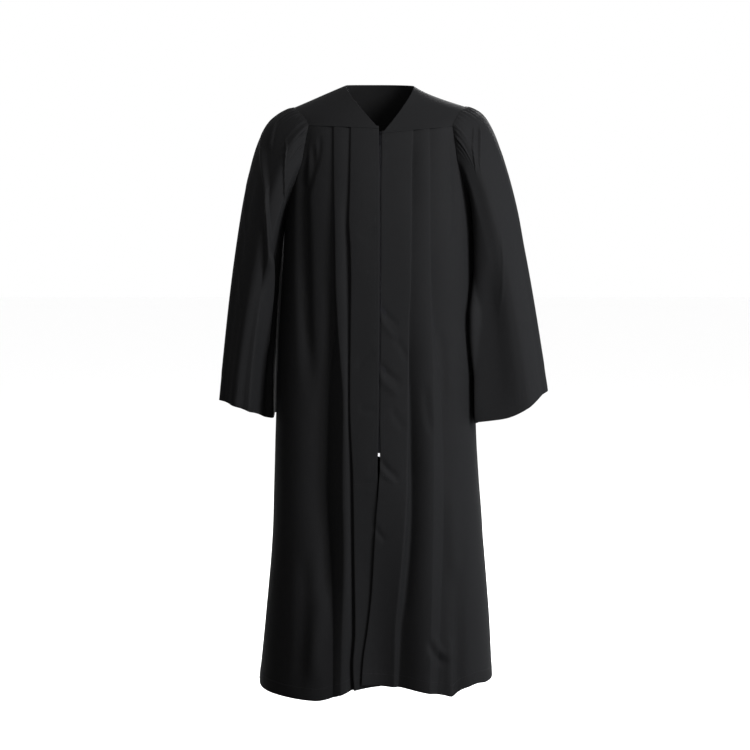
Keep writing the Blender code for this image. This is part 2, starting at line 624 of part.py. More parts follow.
def panel_grid(outline, profiles, drops):
    return np.stack([outline.place(p[:, 0], p[:, 1], d) for p, d in zip(profiles, drops)])


def front(side, material):
    """A front panel, from the opening to the armhole and side seam."""
    outline = OUTLINES[side, FRONT]
    profiles = [front_profile(side, drop) for drop in FRONT_COURSES]
    tops = column(FRONT_SEAM[side], 1, profiles[0][:, 0]) + SEAM_GAP
    hems = column(FRONT_HEM[side], 1, profiles[-1][:, 0])
    drops = heights(tops, hems, FRONT_COURSES)
    outer = panel_grid(outline, profiles, drops)
    inner = panel_grid(outline, [inside_of(p, CLOTH) for p in profiles], drops)
    return shell("front_right" if side == RIGHT else "front_left", outer, inner, material)


def back(material):
    """The back panel in one piece, from side seam to side seam."""
    outer_sides, inner_sides = {}, {}
    for side in (RIGHT, LEFT):
        outline = OUTLINES[side, BACK]
        profiles = [back_profile(side, drop) for drop in BACK_COURSES]
        tops = column(BACK_SEAM, 1, profiles[0][:, 0]) + SEAM_GAP
        hems = column(BACK_HEM[side], 1, profiles[-1][:, 0])
        drops = heights(tops, hems, BACK_COURSES)
        insides = [inside_of(p, CLOTH) for p in profiles]
        for inside in insides:
            inside[0, 0] = 0.0
        outer_sides[side] = panel_grid(outline, profiles, drops)
        inner_sides[side] = panel_grid(outline, insides, drops)
    outer = np.concatenate([outer_sides[RIGHT][:, ::-1], outer_sides[LEFT][:, 1:]], axis=1)
    inner = np.concatenate([inner_sides[RIGHT][:, ::-1], inner_sides[LEFT][:, 1:]], axis=1)
    return shell("back", outer, inner, material)


def bezier(points, t):
    a, b, c, d = (np.asarray(p, float) for p in points)
    t = np.asarray(t, float)[..., None]
    return a * (1 - t) ** 3 + 3 * b * t * (1 - t) ** 2 + 3 * c * t * t * (1 - t) + d * t**3


def patch(top, bottom, first, last):
    """A grid through four edge curves, each given as points: top and bottom across, first and last downwards."""
    u = np.linspace(0, 1, len(top))[None, :, None]
    v = np.linspace(0, 1, len(first))[:, None, None]
    across = (1 - v) * top[None] + v * bottom[None]
    down = (1 - u) * first[:, None] + u * last[:, None]
    corners = (1 - v) * ((1 - u) * top[0] + u * top[-1]) + v * ((1 - u) * bottom[0] + u * bottom[-1])
    return across + down - corners


def softened(line):
    """A line with its corners rounded away, its ends kept."""
    line = line.copy()
    for _ in range(30):
        line[1:-1] = 0.5 * line[1:-1] + 0.25 * (line[:-2] + line[2:])
    return line


def grid_inside(grid, thickness, towards):
    """A grid moved along its own normals, to the side where a point lies."""
    across = np.gradient(grid, axis=1)
    down = np.gradient(grid, axis=0)
    normals = np.cross(across, down)
    normals /= np.linalg.norm(normals, axis=2)[:, :, None]
    middle = grid[grid.shape[0] // 2, grid.shape[1] // 2]
    sense = np.sign(normals[grid.shape[0] // 2, grid.shape[1] // 2] @ (np.asarray(towards) - middle))
    return grid + thickness * sense * normals


def mirrored(point, side):
    return np.array([side * point[0], point[1], point[2]])


def neck_line(side, t):
    """Front neck edge, from the neck point down to the foot of the V."""
    foot = OUTLINES[side, FRONT].place(opening_edge(side, NECK_FOOT_DROP)[0], 0.0, NECK_FOOT_DROP)
    foot[2] = -column(FRONT_SEAM[side], 1, 0.0) + SEAM_GAP
    neck = mirrored(SHOULDER_SEAM[side][0], side)
    from_neck, from_foot = (mirrored(bend, side) for bend in FRONT_NECK_BENDS)
    return bezier([neck, neck + from_neck, foot + from_foot, foot], t)


def shoulder_line(side, t):
    return bezier([mirrored(point, side) for point in SHOULDER_SEAM[side]], t)


def yoke_armhole(side, facing, t, gap):
    """A yoke's outer edge, from the shoulder point down to the yoke seam."""
    outline = OUTLINES[side, facing]
    table = FRONT_SEAM[side] if facing == FRONT else BACK_SEAM
    drop = float(column(table, 1, YOKE_REACH))
    corner = outline.place(float(armhole_edge(outline, drop)) + gap, 0.0, drop)
    corner[2] += SEAM_GAP
    start = shoulder_line(side, [1.0])[0] + (gap * side, 0.0, 0.0)
    from_start, from_corner = (np.array([side * out, facing * away, up]) for out, away, up in YOKE_BENDS)
    return bezier([start, start + from_start, corner + from_corner, corner], t)


def yoke_front(side, material):
    steps = np.linspace(0, 1, 12)
    rows = np.linspace(0, 1, 9)
    outline = OUTLINES[side, FRONT]
    inner_edge = opening_edge(side, NECK_FOOT_DROP)[0]
    drop = float(column(FRONT_SEAM[side], 1, YOKE_REACH))
    along = inner_edge + (float(armhole_edge(outline, drop)) - SEAM_GAP - inner_edge) * steps
    drops = column(FRONT_SEAM[side], 1, along)
    bottom = outline.place(along, 0.0, drops) + (0, 0, SEAM_GAP)
    top = shoulder_line(side, steps) + (0, -SEAM_GAP, 0)
    first = neck_line(side, rows) + (0, -SEAM_GAP, 0)
    last = yoke_armhole(side, FRONT, rows, -SEAM_GAP)
    at_neck, at_sleeve = first[0] - top[0], last[0] + (0, -SEAM_GAP, 0) - top[-1]
    top = top + at_neck * (1 - steps)[:, None] + at_sleeve * steps[:, None]
    last = last + (top[-1] - last[0]) * (1 - rows)[:, None]
    first = first + (bottom[0] - first[-1]) * rows[:, None]
    last = last + (bottom[-1] - last[-1]) * rows[:, None]
    grid = patch(top, bottom, first, last)
    inner = grid_inside(grid, CLOTH, (side * 0.1, 0.0, -0.15))
    inner[0, :, 1] = grid[0, :, 1]
    inner[-1, :, 2] = grid[-1, :, 2]
    return shell("yoke_front_right" if side == RIGHT else "yoke_front_left", grid, inner, material)


def back_neck_line(side, t):
    """Back neck edge, from the neck point to the centre back."""
    neck = mirrored(SHOULDER_SEAM[side][0], side)
    from_neck, from_middle = (mirrored(bend, side) for bend in BACK_NECK_BENDS)
    return bezier([neck, neck + from_neck, np.array(BACK_NECK) + from_middle, BACK_NECK], t)


def yoke_back(material):
    rows = np.linspace(0, 1, 8)
    seam_steps = np.linspace(1, 0, 8)
    neck_steps = np.linspace(0, 1, 7)
    top, bottom = [], []
    for side in (RIGHT, LEFT):
        shoulder = shoulder_line(side, seam_steps) + (0, SEAM_GAP, 0)
        neck = back_neck_line(side, neck_steps) + (0, SEAM_GAP, 0)
        edge = np.concatenate([shoulder, neck[1:]])
        outline = OUTLINES[side, BACK]
        drop = float(column(BACK_SEAM, 1, YOKE_REACH))
        reach = float(armhole_edge(outline, drop)) - SEAM_GAP
        lengths = np.linalg.norm(np.diff(edge, axis=0), axis=1)
        share = np.concatenate([[0.0], np.cumsum(lengths)]) / lengths.sum()
        foot = outline.place(reach * (1 - share), 0.0, column(BACK_SEAM, 1, reach * (1 - share)))
        top.append(edge)
        bottom.append(foot + (0, 0, SEAM_GAP))
    top = np.concatenate([top[0], top[1][::-1][1:]])
    bottom = np.concatenate([bottom[0], bottom[1][::-1][1:]])
    first = yoke_armhole(RIGHT, BACK, rows, -SEAM_GAP)
    last = yoke_armhole(LEFT, BACK, rows, -SEAM_GAP)
    first = first + (top[0] - first[0]) * (1 - rows)[:, None] + (bottom[0] - first[-1]) * rows[:, None]
    last = last + (top[-1] - last[0]) * (1 - rows)[:, None] + (bottom[-1] - last[-1]) * rows[:, None]
    soft = softened(top)
    grid = patch(soft, bottom, first, last) + (top - soft)[None] * ((1 - rows) ** 3)[:, None, None]
    inner = grid_inside(grid, CLOTH, (0.0, 0.0, -0.15))
    inner[-1, :, 2] = grid[-1, :, 2]
    for seam in (slice(None, len(seam_steps)), slice(-len(seam_steps), None)):
        inner[0, seam, 1] = grid[0, seam, 1]
    return shell("yoke_back", grid, inner, material)


def armhole_loop(side):
    """The sleeve's sewn edge, all round the armhole from the shoulder by the front, as close points."""
    t = np.linspace(0, 1, 41)
    pieces = [yoke_armhole(side, FRONT, t, SLEEVE_GAP)]
    for facing in (FRONT, BACK):
        outline = OUTLINES[side, facing]
        table = FRONT_SEAM[side] if facing == FRONT else BACK_SEAM
        top = float(column(table, 1, YOKE_REACH))
        drops = top + (UNDERARM - 2 * SEAM_GAP - top) * np.sin(t * math.pi / 2)
        along = np.minimum(armhole_edge(outline, drops) + SLEEVE_GAP, outline.seam(drops))
        out = SLEEVE_OVER + SLEEVE_OVER * ease((drops - OVER_GROWS[0]) / (OVER_GROWS[1] - OVER_GROWS[0]))
        run = outline.place(along, out, drops)
        pieces.append(run[1:] if facing == FRONT else run[::-1][1:])
    pieces.append(yoke_armhole(side, BACK, t, SLEEVE_GAP)[::-1][1:-1])
    loop = np.concatenate(pieces)
    closed = np.concatenate([loop, loop[:1]])
    run = np.concatenate([[0.0], np.cumsum(np.linalg.norm(np.diff(closed, axis=0), axis=1))])
    return closed, run / run[-1]


LOOPS = {side: armhole_loop(side) for side in (RIGHT, LEFT)}


def sleeve_plain(side, turn, down):
    """The sleeve's outer surface with no folds, at shares of the way around and down."""
    loop, shares = LOOPS[side]
    turn = np.mod(turn, 1.0)
    start = np.stack([np.interp(turn, shares, loop[:, k]) for k in range(3)], axis=-1)
    pull = np.stack([side * around(SLEEVE_START, 1, turn), -around(SLEEVE_START, 2, turn),
                     -around(SLEEVE_START, 3, turn)], axis=-1)
    cuff = CUFF[side]
    end = np.stack([side * around(cuff, 1, turn), -around(cuff, 2, turn), -around(cuff, 3, turn)], axis=-1)
    lean = around(cuff, 5, turn)
    rise = np.stack([-side * lean, np.zeros_like(lean), np.sqrt(1 - lean**2)], axis=-1)
    first = start + pull * (SLEEVE_FULLNESS[side] * around(SLEEVE_START, 4, turn))[..., None]
    second = end + rise * around(cuff, 4, turn)[..., None]
    t = np.asarray(down, float)[..., None]
    return start * (1 - t) ** 3 + 3 * first * t * (1 - t) ** 2 + 3 * second * t * t * (1 - t) + end * t**3


def sleeve_fold_depth(side, turn, down):
    """How far the folds and gathers move the sleeve's surface in."""
    depth = np.zeros(np.broadcast(turn, down).shape)
    for fold in SLEEVE_FOLDS[side]:
        centre, width, deep = (column(fold, k, down) for k in (1, 2, 3))
        away = np.mod(turn - centre + 0.5, 1.0) - 0.5
        depth = depth + deep * MM * bump(away, width)
    from_shoulder = np.mod(turn + 0.5, 1.0) - 0.5
    gathered = ease((GATHERED - np.abs(from_shoulder)) / 0.03)
    fading = (0.25 + 0.75 * ease(down / 0.05)) * (1 - ease((down - 0.05) / 0.22))
    waves = np.cos(from_shoulder / (2 * GATHERED) * GATHERS * 2 * math.pi)
    return depth + GATHER_DEPTH * gathered * fading * (0.5 - 0.5 * waves)


def sleeve_surface(side, turn, down, inwards=0.0):
    """The sleeve's surface, moved in by its folds and by a thickness."""
    small = 1e-3
    here = sleeve_plain(side, turn, down)
    over = sleeve_plain(side, turn + small, down) - sleeve_plain(side, turn - small, down)
    low, high = np.clip(down - small, 0, 1), np.clip(down + small, 0, 1)
    along = sleeve_plain(side, turn, high) - sleeve_plain(side, turn, low)
    normal = np.cross(over, along) * side
    normal /= np.linalg.norm(normal, axis=-1)[..., None]
    return here + normal * (sleeve_fold_depth(side, turn, down) + inwards)[..., None]


def stitched(first, second, a, b):
    """Triangles between two closed rings of points, given each point's share of the way around."""
    faces, i, j = [], 0, 0
    while i < len(first) or j < len(second):
        next_first = a[i + 1] if i + 1 < len(a) else 1.0 + a[0]
        next_second = b[j + 1] if j + 1 < len(b) else 1.0 + b[0]
        left, right = first[i % len(first)], second[j % len(second)]
        if j >= len(second) or (i < len(first) and next_first <= next_second):
            faces.append((left, right, first[(i + 1) % len(first)]))
            i += 1
        else:
            faces.append((left, right, second[(j + 1) % len(second)]))
            j += 1
    return faces


def sleeve(side, material):
    """A bell sleeve: finely gathered at its head, with fewer columns below."""
    peaks = np.arange(-GATHERS, GATHERS + 1) / (2.0 * GATHERS) * 2 * GATHERED
    under = np.linspace(GATHERED, 1 - GATHERED, UNDERARM_COLUMNS)[1:-1]
    fine = np.sort(np.mod(np.concatenate([peaks, under]), 1.0))
    coarse = np.linspace(0, 1, PLAIN_COLUMNS, endpoint=False)
    courses = [(down, fine) for down in GATHERED_COURSES]
    courses += [(down, coarse) for down in PLAIN_COURSES]
    points, rings, inner_rings = [], [], []
    for inwards, kept in ((0.0, rings), (CLOTH, inner_rings)):
        for down, turns in courses:
            first = sum(len(p) for p in points)
            points.append(sleeve_surface(side, turns, np.full(len(turns), down), np.full(len(turns), inwards)))
            kept.append((list(range(first, first + len(turns))), turns))
    faces = []
    for (upper, a), (lower, b) in zip(rings, rings[1:]):
        faces += stitched(upper, lower, a, b)
    for (upper, a), (lower, b) in zip(inner_rings, inner_rings[1:]):
        faces += [tuple(reversed(f)) for f in stitched(upper, lower, a, b)]
    faces += [tuple(reversed(f)) for f in stitched(rings[0][0], inner_rings[0][0], rings[0][1], rings[0][1])]
    faces += stitched(rings[-1][0], inner_rings[-1][0], rings[-1][1], rings[-1][1])
    return solid("sleeve_right" if side == RIGHT else "sleeve_left", np.concatenate(points), faces, material)


def block(name, corners_low, corners_high, material):
    """A box between two corners."""
    (x0, y0, z0), (x1, y1, z1) = corners_low, corners_high
    points = [(x, y, z) for x in (x0, x1) for y in (y0, y1) for z in (z0, z1)]
    faces = [(0, 1, 3, 2), (4, 6, 7, 5), (0, 4, 5, 1), (2, 3, 7, 6), (0, 2, 6, 4), (1, 5, 7, 3)]
    return solid(name, points, faces, material)


def zip_tape(side, material):
    """The woven tape sewn behind a front's edge."""
    outline = OUTLINES[side, FRONT]
    drops = np.linspace(ZIP_TOP, ZIP_FOOT, 15)
    behind = -(CLOTH + BEHIND)
    outer, inner = [], []
    for drop in drops:
        line = float(column(OPENING, 1, drop)) * MM * side
        along = line + np.array([CHAIN_HALF_WIDTH + SEAM_GAP, CHAIN_HALF_WIDTH + SEAM_GAP + TAPE_WIDTH])
        outer.append(outline.place(along, behind, drop))
        inner.append(outline.place(along, behind - TAPE, drop))
    return shell("zip_tape_right" if side == RIGHT else "zip_tape_left", np.array(outer), np.array(inner), material)


def zip_chain(material):
    """The closed chain between the tapes."""
    outline = OUTLINES[LEFT, FRONT]
    drops = np.linspace(ZIP_TOP + 1.4 * MM, ZIP_FOOT - 8 * MM, 15)
    behind = -(CLOTH + BEHIND)
    outer, inner = [], []
    for drop in drops:
        line = float(column(OPENING, 1, drop)) * MM
        along = line + np.array([-CHAIN_HALF_WIDTH, CHAIN_HALF_WIDTH])
        outer.append(outline.place(along, behind, drop))
        inner.append(outline.place(along, behind - CHAIN, drop))
    return shell("zip_chain", np.array(outer), np.array(inner), material)


def zip_stop(material):
    """The bright box at the foot of the chain, standing in the gap between the fronts."""
    drop = ZIP_FOOT - 3.8 * MM
    x, y, z = OUTLINES[LEFT, FRONT].place(float(column(OPENING, 1, drop)) * MM, 0.0, drop)
    low = (x - 2.1 * MM, y - 0.4 * MM, z - 3.6 * MM)
    high = (x + 2.1 * MM, y + CLOTH + BEHIND + CHAIN, z + 3.6 * MM)
    return block("zip_stop", low, high, material)


def zip_lean():
    """How far the chain leans forward out of the upright, in radians, where the slider stops."""
    outline = OUTLINES[LEFT, FRONT]
    step = 10 * MM
    upper = outline.place(0.0, 0.0, TAB_HINGE_DROP)
    lower = outline.place(0.0, 0.0, TAB_HINGE_DROP + 2 * step)
    return math.atan2(upper[1] - lower[1], upper[2] - lower[2])


def hinge_place():
    """The pull tab's pivot: in the gap between the fronts, in front of the slider."""
    x = float(column(OPENING, 1, TAB_HINGE_DROP)) * MM
    return OUTLINES[LEFT, FRONT].place(x, 0.0, TAB_HINGE_DROP) + (0, TAB_BEHIND, 0)


def extruded(name, profile, half_width, material, across=False):
    """A profile of (height, depth) or, if across, (height, width), made twice the half width thick.

    It leans with the chain, and its object's origin is on the pull tab's pivot.
    """
    count = len(profile)
    lean = zip_lean()
    points = []
    for reach in (-half_width, half_width):
        for height, other in profile:
            wide, deep = (other, reach) if across else (reach, other)
            points.append((wide, deep * math.cos(lean) + height * math.sin(lean),
                           height * math.cos(lean) - deep * math.sin(lean)))
    faces = [tuple(range(count)), tuple(reversed(range(count, 2 * count)))]
    faces += [(k, k + count, (k + 1) % count + count, (k + 1) % count) for k in range(count)]
    made = solid(name, points, faces, material)
    made.location = hinge_place()
    return made


def combined(made, operation, helper):
    """Joins a helper solid to an object, or cuts the object with it, and hides the helper."""
    step = made.modifiers.new(operation.title(), "BOOLEAN")
    step.operation, step.object, step.solver = operation, helper, "EXACT"
    helper.hide_render = True
    helper.display_type = "WIRE"


def zip_slider(material):
    """The slider's body behind the fronts, with the arch that carries the pull tab."""
    foot, head = -SLIDER_LENGTH / 2, SLIDER_LENGTH / 2
    front_face = TUNNEL
    back_face = front_face + SLIDER_BODY
    arch_reach = TUNNEL + ARCH
    plate = extruded("zip_slider", ((foot, back_face), (head, back_face), (head, front_face), (foot, front_face)),
                     SLIDER_WIDTH / 2, material)
    sunk = front_face + SLIDER_BODY / 3
    arch = extruded("slider_arch", ((-arch_reach, sunk), (arch_reach, sunk), (arch_reach, -arch_reach),
                                    (-arch_reach, -arch_reach)), ARCH_WIDTH / 2, material)
    tunnel = extruded("slider_tunnel", ((-TUNNEL, front_face), (TUNNEL, front_face), (TUNNEL, -TUNNEL),
                                        (-TUNNEL, -TUNNEL)), ARCH_WIDTH, material)
    combined(arch, "DIFFERENCE", tunnel)
    combined(plate, "UNION", arch)
    return plate


def zip_pull_tab(material):
    """A flat tab with a slot, hanging by the bar above the slot."""
    half, bar = TAB_WIDTH / 2, TAB / 2
    foot = half - TAB_LENGTH
    turns = [-math.pi * k / 8 for k in range(9)]
    edge = [(bar, -half), (bar, half)] + [(foot + half * math.sin(a), half * math.cos(a)) for a in turns]
    tab = extruded("zip_pull_tab", edge, TAB / 2, material, across=True)
    slot = ((-bar, -SLOT_HALF), (-bar, SLOT_HALF), (SLOT_FOOT, SLOT_HALF), (SLOT_FOOT, -SLOT_HALF))
    cutter = extruded("tab_slot", slot, 2 * TAB, material, across=True)
    combined(tab, "DIFFERENCE", cutter)
    return tab


def main():
    for old in list(bpy.data.objects):
        bpy.data.objects.remove(old)
    cloth = finish("gown_cloth", BLACK_CLOTH, 0.85)
    tape = finish("zip_tape", BLACK_TAPE, 0.8)
    bright = finish("bright_metal", BRIGHT_METAL, 0.3, 1.0)
    dark = finish("dark_metal", DARK_METAL, 0.45, 1.0)
    for side in (RIGHT, LEFT):
        yoke_front(side, cloth)
        front(side, cloth)
        sleeve(side, cloth)
        zip_tape(side, tape)
    yoke_back(cloth)
    back(cloth)
    zip_chain(tape)
    zip_stop(bright)
    zip_slider(dark)
    zip_pull_tab(dark)


main()
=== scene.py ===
import math

import bpy
import numpy as np
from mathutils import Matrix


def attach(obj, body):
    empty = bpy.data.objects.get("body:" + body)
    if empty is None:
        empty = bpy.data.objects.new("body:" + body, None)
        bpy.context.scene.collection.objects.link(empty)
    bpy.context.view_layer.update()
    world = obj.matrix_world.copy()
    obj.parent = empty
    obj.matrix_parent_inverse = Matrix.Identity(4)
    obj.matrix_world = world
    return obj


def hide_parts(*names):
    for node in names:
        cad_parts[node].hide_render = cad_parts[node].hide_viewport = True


# %% [markdown]
# A graduation gown of thin woven cloth, closed in front by a zip and open at neck, hem and cuffs. The
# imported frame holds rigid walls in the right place. This lesson lays real cloth over them: finely spaced
# courses of points, folds that roll over and run back under themselves, hems, stitches and a zip.
# Metres throughout. +X is the gown's own left, the front faces -Y, and the neck points are at height 0.
# A drop is a distance down from there.

# %% Load the frame and note its size
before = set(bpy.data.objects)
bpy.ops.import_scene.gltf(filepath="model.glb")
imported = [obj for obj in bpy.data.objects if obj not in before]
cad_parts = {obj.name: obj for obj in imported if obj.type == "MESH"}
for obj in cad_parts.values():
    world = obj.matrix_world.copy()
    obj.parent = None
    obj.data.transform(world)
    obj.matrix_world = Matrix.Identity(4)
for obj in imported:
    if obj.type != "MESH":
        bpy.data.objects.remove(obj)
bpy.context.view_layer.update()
MM = 0.001
RIGHT, LEFT = -1, 1
FRONT, BACK = -1, 1
NAMES = {RIGHT: "right", LEFT: "left"}

# %% [markdown]
# A dressmaker drafts with a few measures and a smooth hand between them. Here each measure is a row of a
# table, and a curve runs through the rows. A plain spline would swing past tight rows and make lumps in
# the cloth, so the slope at each row is the harmonic mean of its neighbours', which never overshoots.

# %% A smooth hand between rows
def through(places, values, at):
    """The value at each place of a curve through the rows that never swings past them."""
    places = np.asarray(places, float)
    values = np.asarray(values, float)
    steps = np.diff(places)
    slopes = np.diff(values) / steps
    turns = np.zeros(len(values))
    same_way = slopes[:-1] * slopes[1:] > 0
    product = np.where(same_way, slopes[:-1] * slopes[1:], 0.0)
    turns[1:-1] = 2.0 * product / np.where(same_way, slopes[:-1] + slopes[1:], 1.0)
    turns[0], turns[-1] = slopes[0], slopes[-1]
    at = np.clip(np.asarray(at, float), places[0], places[-1])
    i = np.clip(np.searchsorted(places, at, side="right") - 1, 0, len(steps) - 1)
    t = (at - places[i]) / steps[i]
    rise = values[i + 1] - values[i]
    bend_in, bend_out = steps[i] * turns[i], steps[i] * turns[i + 1]
    square = t * t * (3 * rise - 2 * bend_in - bend_out)
    return values[i] + t * bend_in + square + t**3 * (bend_in + bend_out - 2 * rise)


def column(table, which, at):
    """A column of a table, read smoothly at places of its first column."""
    rows = np.array(table, float)
    return through(rows[:, 0], rows[:, which], at)


def around(table, which, at):
    """A column of a table that closes on itself, at each share of the way around."""
    rows = np.array(table, float)
    places = np.concatenate([rows[-3:, 0] - 1, rows[:, 0], rows[:3, 0] + 1])
    values = np.concatenate([rows[-3:, which], rows[:, which], rows[:3, which]])
    return through(places, values, np.mod(at, 1.0))


def ease(t):
    """A smooth step from 0 to 1, level at both ends."""
    t = np.clip(t, 0.0, 1.0)
    return t * t * (3 - 2 * t)


def bump(distance, half_width):
    """1 at no distance, falling smoothly to 0 at the half width."""
    return 0.5 + 0.5 * np.cos(math.pi * np.clip(np.abs(distance) / half_width, 0.0, 1.0))


def read_off(at, places, values):
    """Rows of values, read off in straight lines at places along them."""
    return np.stack([np.interp(at, places, values[:, k]) for k in range(values.shape[1])], axis=-1)


print("halfway between rows 0 and 1:", float(through([0, 1], [0, 1], 0.5)))

# %% [markdown]
# A full gown hangs from the shoulders as a soft tube. Seen from above, each level is between an ellipse
# and a rectangle, which is what a superellipse gives: two half widths, two depths and one squareness per
# level. The cloth also swells slowly where it has been pushed forward. One quarter is worked out at a
# time, from the centre line to a side seam, and measured along the cloth, because that is how cloth is cut.

# %% The gown's plan at each level
# drop, right half width, left half width, front, back, squareness
BODY = (
    (0.04, 0.196, 0.194, 0.092, 0.084, 2.5),
    (0.10, 0.200, 0.197, 0.114, 0.104, 2.5),
    (0.20, 0.206, 0.199, 0.135, 0.124, 2.5),
    (0.33, 0.212, 0.203, 0.150, 0.128, 2.5),
    (0.60, 0.227, 0.207, 0.152, 0.130, 2.5),
    (0.77, 0.233, 0.211, 0.157, 0.139, 2.4),
    (0.97, 0.240, 0.225, 0.163, 0.151, 2.4),
    (1.16, 0.256, 0.240, 0.168, 0.163, 2.3),
    (1.34, 0.273, 0.249, 0.172, 0.176, 2.3),
)
# centre, half width, forward at the hem, drop where it starts
SWELLS = {
    FRONT: ((-0.150, 0.085, 0.010, 0.75), (0.000, 0.110, -0.034, 0.80), (0.155, 0.090, 0.004, 0.80)),
    BACK: ((-0.165, 0.080, 0.012, 0.60), (0.000, 0.075, 0.010, 0.60), (0.150, 0.080, 0.012, 0.60)),
}
SWELLS_FULL = 1.31
SWELLS_FADE = 0.04  # a swell fades where the outline comes this close to the side seam
print("levels measured:", len(BODY), "from", BODY[0][0], "to", BODY[-1][0], "m")

# %% [markdown]
# Panels are drawn by distances along the cloth, so each quarter is measured once and kept as a chart:
# rows of levels, and along each row even steps of cloth. Any point of a panel is then read off the chart,
# and it can stand out from it or lie behind it, square to the outline.

# %% A chart of each quarter
LEVELS = np.arange(0.03, 1.36, 0.005)
SHARES = np.linspace(0.0, 1.0, 161)
SLOPE_STEP = 0.7  # the outline's direction is taken between points this many steps before and after


class Outline:
    """A quarter of the gown seen from above at every drop, from the centre line to a side seam."""

    def __init__(self, side, facing):
        self.side, self.facing = side, facing
        angles = np.linspace(0.0, math.pi / 2, 361)
        self.length = np.empty(len(LEVELS))
        self.x = np.empty((len(LEVELS), len(SHARES)))
        self.y = np.empty((len(LEVELS), len(SHARES)))
        for i, drop in enumerate(LEVELS):
            half = column(BODY, 1 if side == RIGHT else 2, drop)
            deep = column(BODY, 3 if facing == FRONT else 4, drop)
            power = 2.0 / column(BODY, 5, drop)
            x = half * np.sin(angles) ** power
            y = deep * np.maximum(np.cos(angles), 0.0) ** power
            for centre, width, forward, starts in SWELLS[facing]:
                grown = ease((drop - starts) / (SWELLS_FULL - starts))
                y = y + forward * grown * bump(side * x - centre, width) * np.minimum(1.0, y / SWELLS_FADE)
            run = np.concatenate([[0.0], np.cumsum(np.hypot(np.diff(x), np.diff(y)))])
            self.length[i] = run[-1]
            self.x[i] = np.interp(SHARES * run[-1], run, x)
            self.y[i] = np.interp(SHARES * run[-1], run, y)

    def seam(self, drop):
        """Distance along the cloth from the centre line to the side seam."""
        return np.interp(drop, LEVELS, self.length)

    def _at(self, grid, level, share):
        """A value between the chart's four nearest points."""
        i = np.clip(level.astype(int), 0, len(LEVELS) - 2)
        j = np.clip(share.astype(int), 0, len(SHARES) - 2)
        a, b = level - i, share - j
        low = grid[i, j] * (1 - b) + grid[i, j + 1] * b
        high = grid[i + 1, j] * (1 - b) + grid[i + 1, j + 1] * b
        return low * (1 - a) + high * a

    def place(self, along, out, drop):
        """Points at these distances from the centre line, standing this far out from the outline."""
        along, out, drop = np.broadcast_arrays(np.asarray(along, float), out, drop)
        crossed = np.where(along < 0, -1.0, 1.0)
        level = (np.clip(drop, LEVELS[0], LEVELS[-1]) - LEVELS[0]) / (LEVELS[1] - LEVELS[0])
        share = np.clip(np.abs(along) / self.seam(drop), 0.0, 1.0) * (len(SHARES) - 1)
        near = np.clip(share - SLOPE_STEP, 0, None)
        far = np.clip(share + SLOPE_STEP, None, len(SHARES) - 1)
        dx = self._at(self.x, level, far) - self._at(self.x, level, near)
        dy = self._at(self.y, level, far) - self._at(self.y, level, near)
        size = np.hypot(dx, dy)
        x = self._at(self.x, level, share) - out * dy / size
        y = self._at(self.y, level, share) + out * dx / size
        return np.stack([self.side * crossed * x, self.facing * y, -np.asarray(drop, float)], axis=-1)

    def along_at(self, x, drop):
        """Distance from the centre line where the outline reaches this x."""
        i = int(np.clip(round((drop - LEVELS[0]) / (LEVELS[1] - LEVELS[0])), 0, len(LEVELS) - 1))
        return float(np.interp(x, self.x[i], SHARES * self.length[i]))


OUTLINES = {(side, facing): Outline(side, facing) for side in (RIGHT, LEFT) for facing in (FRONT, BACK)}
print("half round at the hem, mm:", [round(o.length[-1] / MM) for o in OUTLINES.values()])

# %% [markdown]
# The cut lines: where the fronts meet, where the yokes end, where the armholes run and where the hems
# hang. Above the foot of the zip the two front edges almost touch. Below it the gown's left front has
# swung across and lies over the right one, as it does on a gown that hangs still.

# %% Cut lines
# drop; then in mm: opening line's place, half the gap, left edge forward, right front's hidden edge
OPENING = (
    (0.09, -2.0, 3.3, 0.0, 0.0),
    (0.15, -2.0, 3.2, 0.0, 0.0),
    (0.20, -2.0, 1.8, 0.0, 0.0),
    (0.50, -2.6, 1.7, 0.0, 0.0),
    (0.72, -4.2, 1.7, 0.0, 0.0),
    (0.78, -4.6, 3.0, 0.0, 0.0),
    (0.82, -5.4, 3.0, 0.0, 0.0),
    (0.86, -6.6, 1.6, 2.6, 0.0),
    (0.93, -12.0, 1.6, 4.4, 5.5),
    (1.02, -17.5, 1.6, 5.6, 14.5),
    (1.10, -22.5, 1.6, 6.0, 21.5),
    (1.18, -32.0, 1.6, 6.0, 32.0),
    (1.25, -43.0, 1.6, 6.0, 43.0),
    (1.34, -50.0, 1.6, 6.0, 50.0),
)
# distance from the centre line, drop
FRONT_SEAM = {
    RIGHT: ((0.000, 0.1015), (0.080, 0.0975), (0.170, 0.0935)),
    LEFT: ((0.000, 0.1120), (0.080, 0.1030), (0.170, 0.0940)),
}
BACK_SEAM = ((0.000, 0.1300), (0.080, 0.1290), (0.170, 0.1220))
FRONT_HEM = {
    RIGHT: ((-0.05, 1.298), (0.00, 1.300), (0.06, 1.306), (0.15, 1.328), (0.26, 1.325), (0.40, 1.318)),
    LEFT: ((-0.05, 1.294), (0.00, 1.298), (0.06, 1.303), (0.145, 1.318), (0.165, 1.323), (0.197, 1.308),
           (0.235, 1.3025), (0.265, 1.306), (0.40, 1.301)),
}
BACK_HEM = {
    RIGHT: ((0.00, 1.312), (0.12, 1.318), (0.26, 1.318), (0.42, 1.318)),
    LEFT: ((0.00, 1.312), (0.12, 1.310), (0.26, 1.302), (0.42, 1.301)),
}
ARMHOLE_INSET = {FRONT: 0.099, BACK: 0.098}
ARMHOLE_CURVE_STARTS = 0.165
ARMHOLE_BEND = (1.3, 0.8)
UNDERARM = 0.330
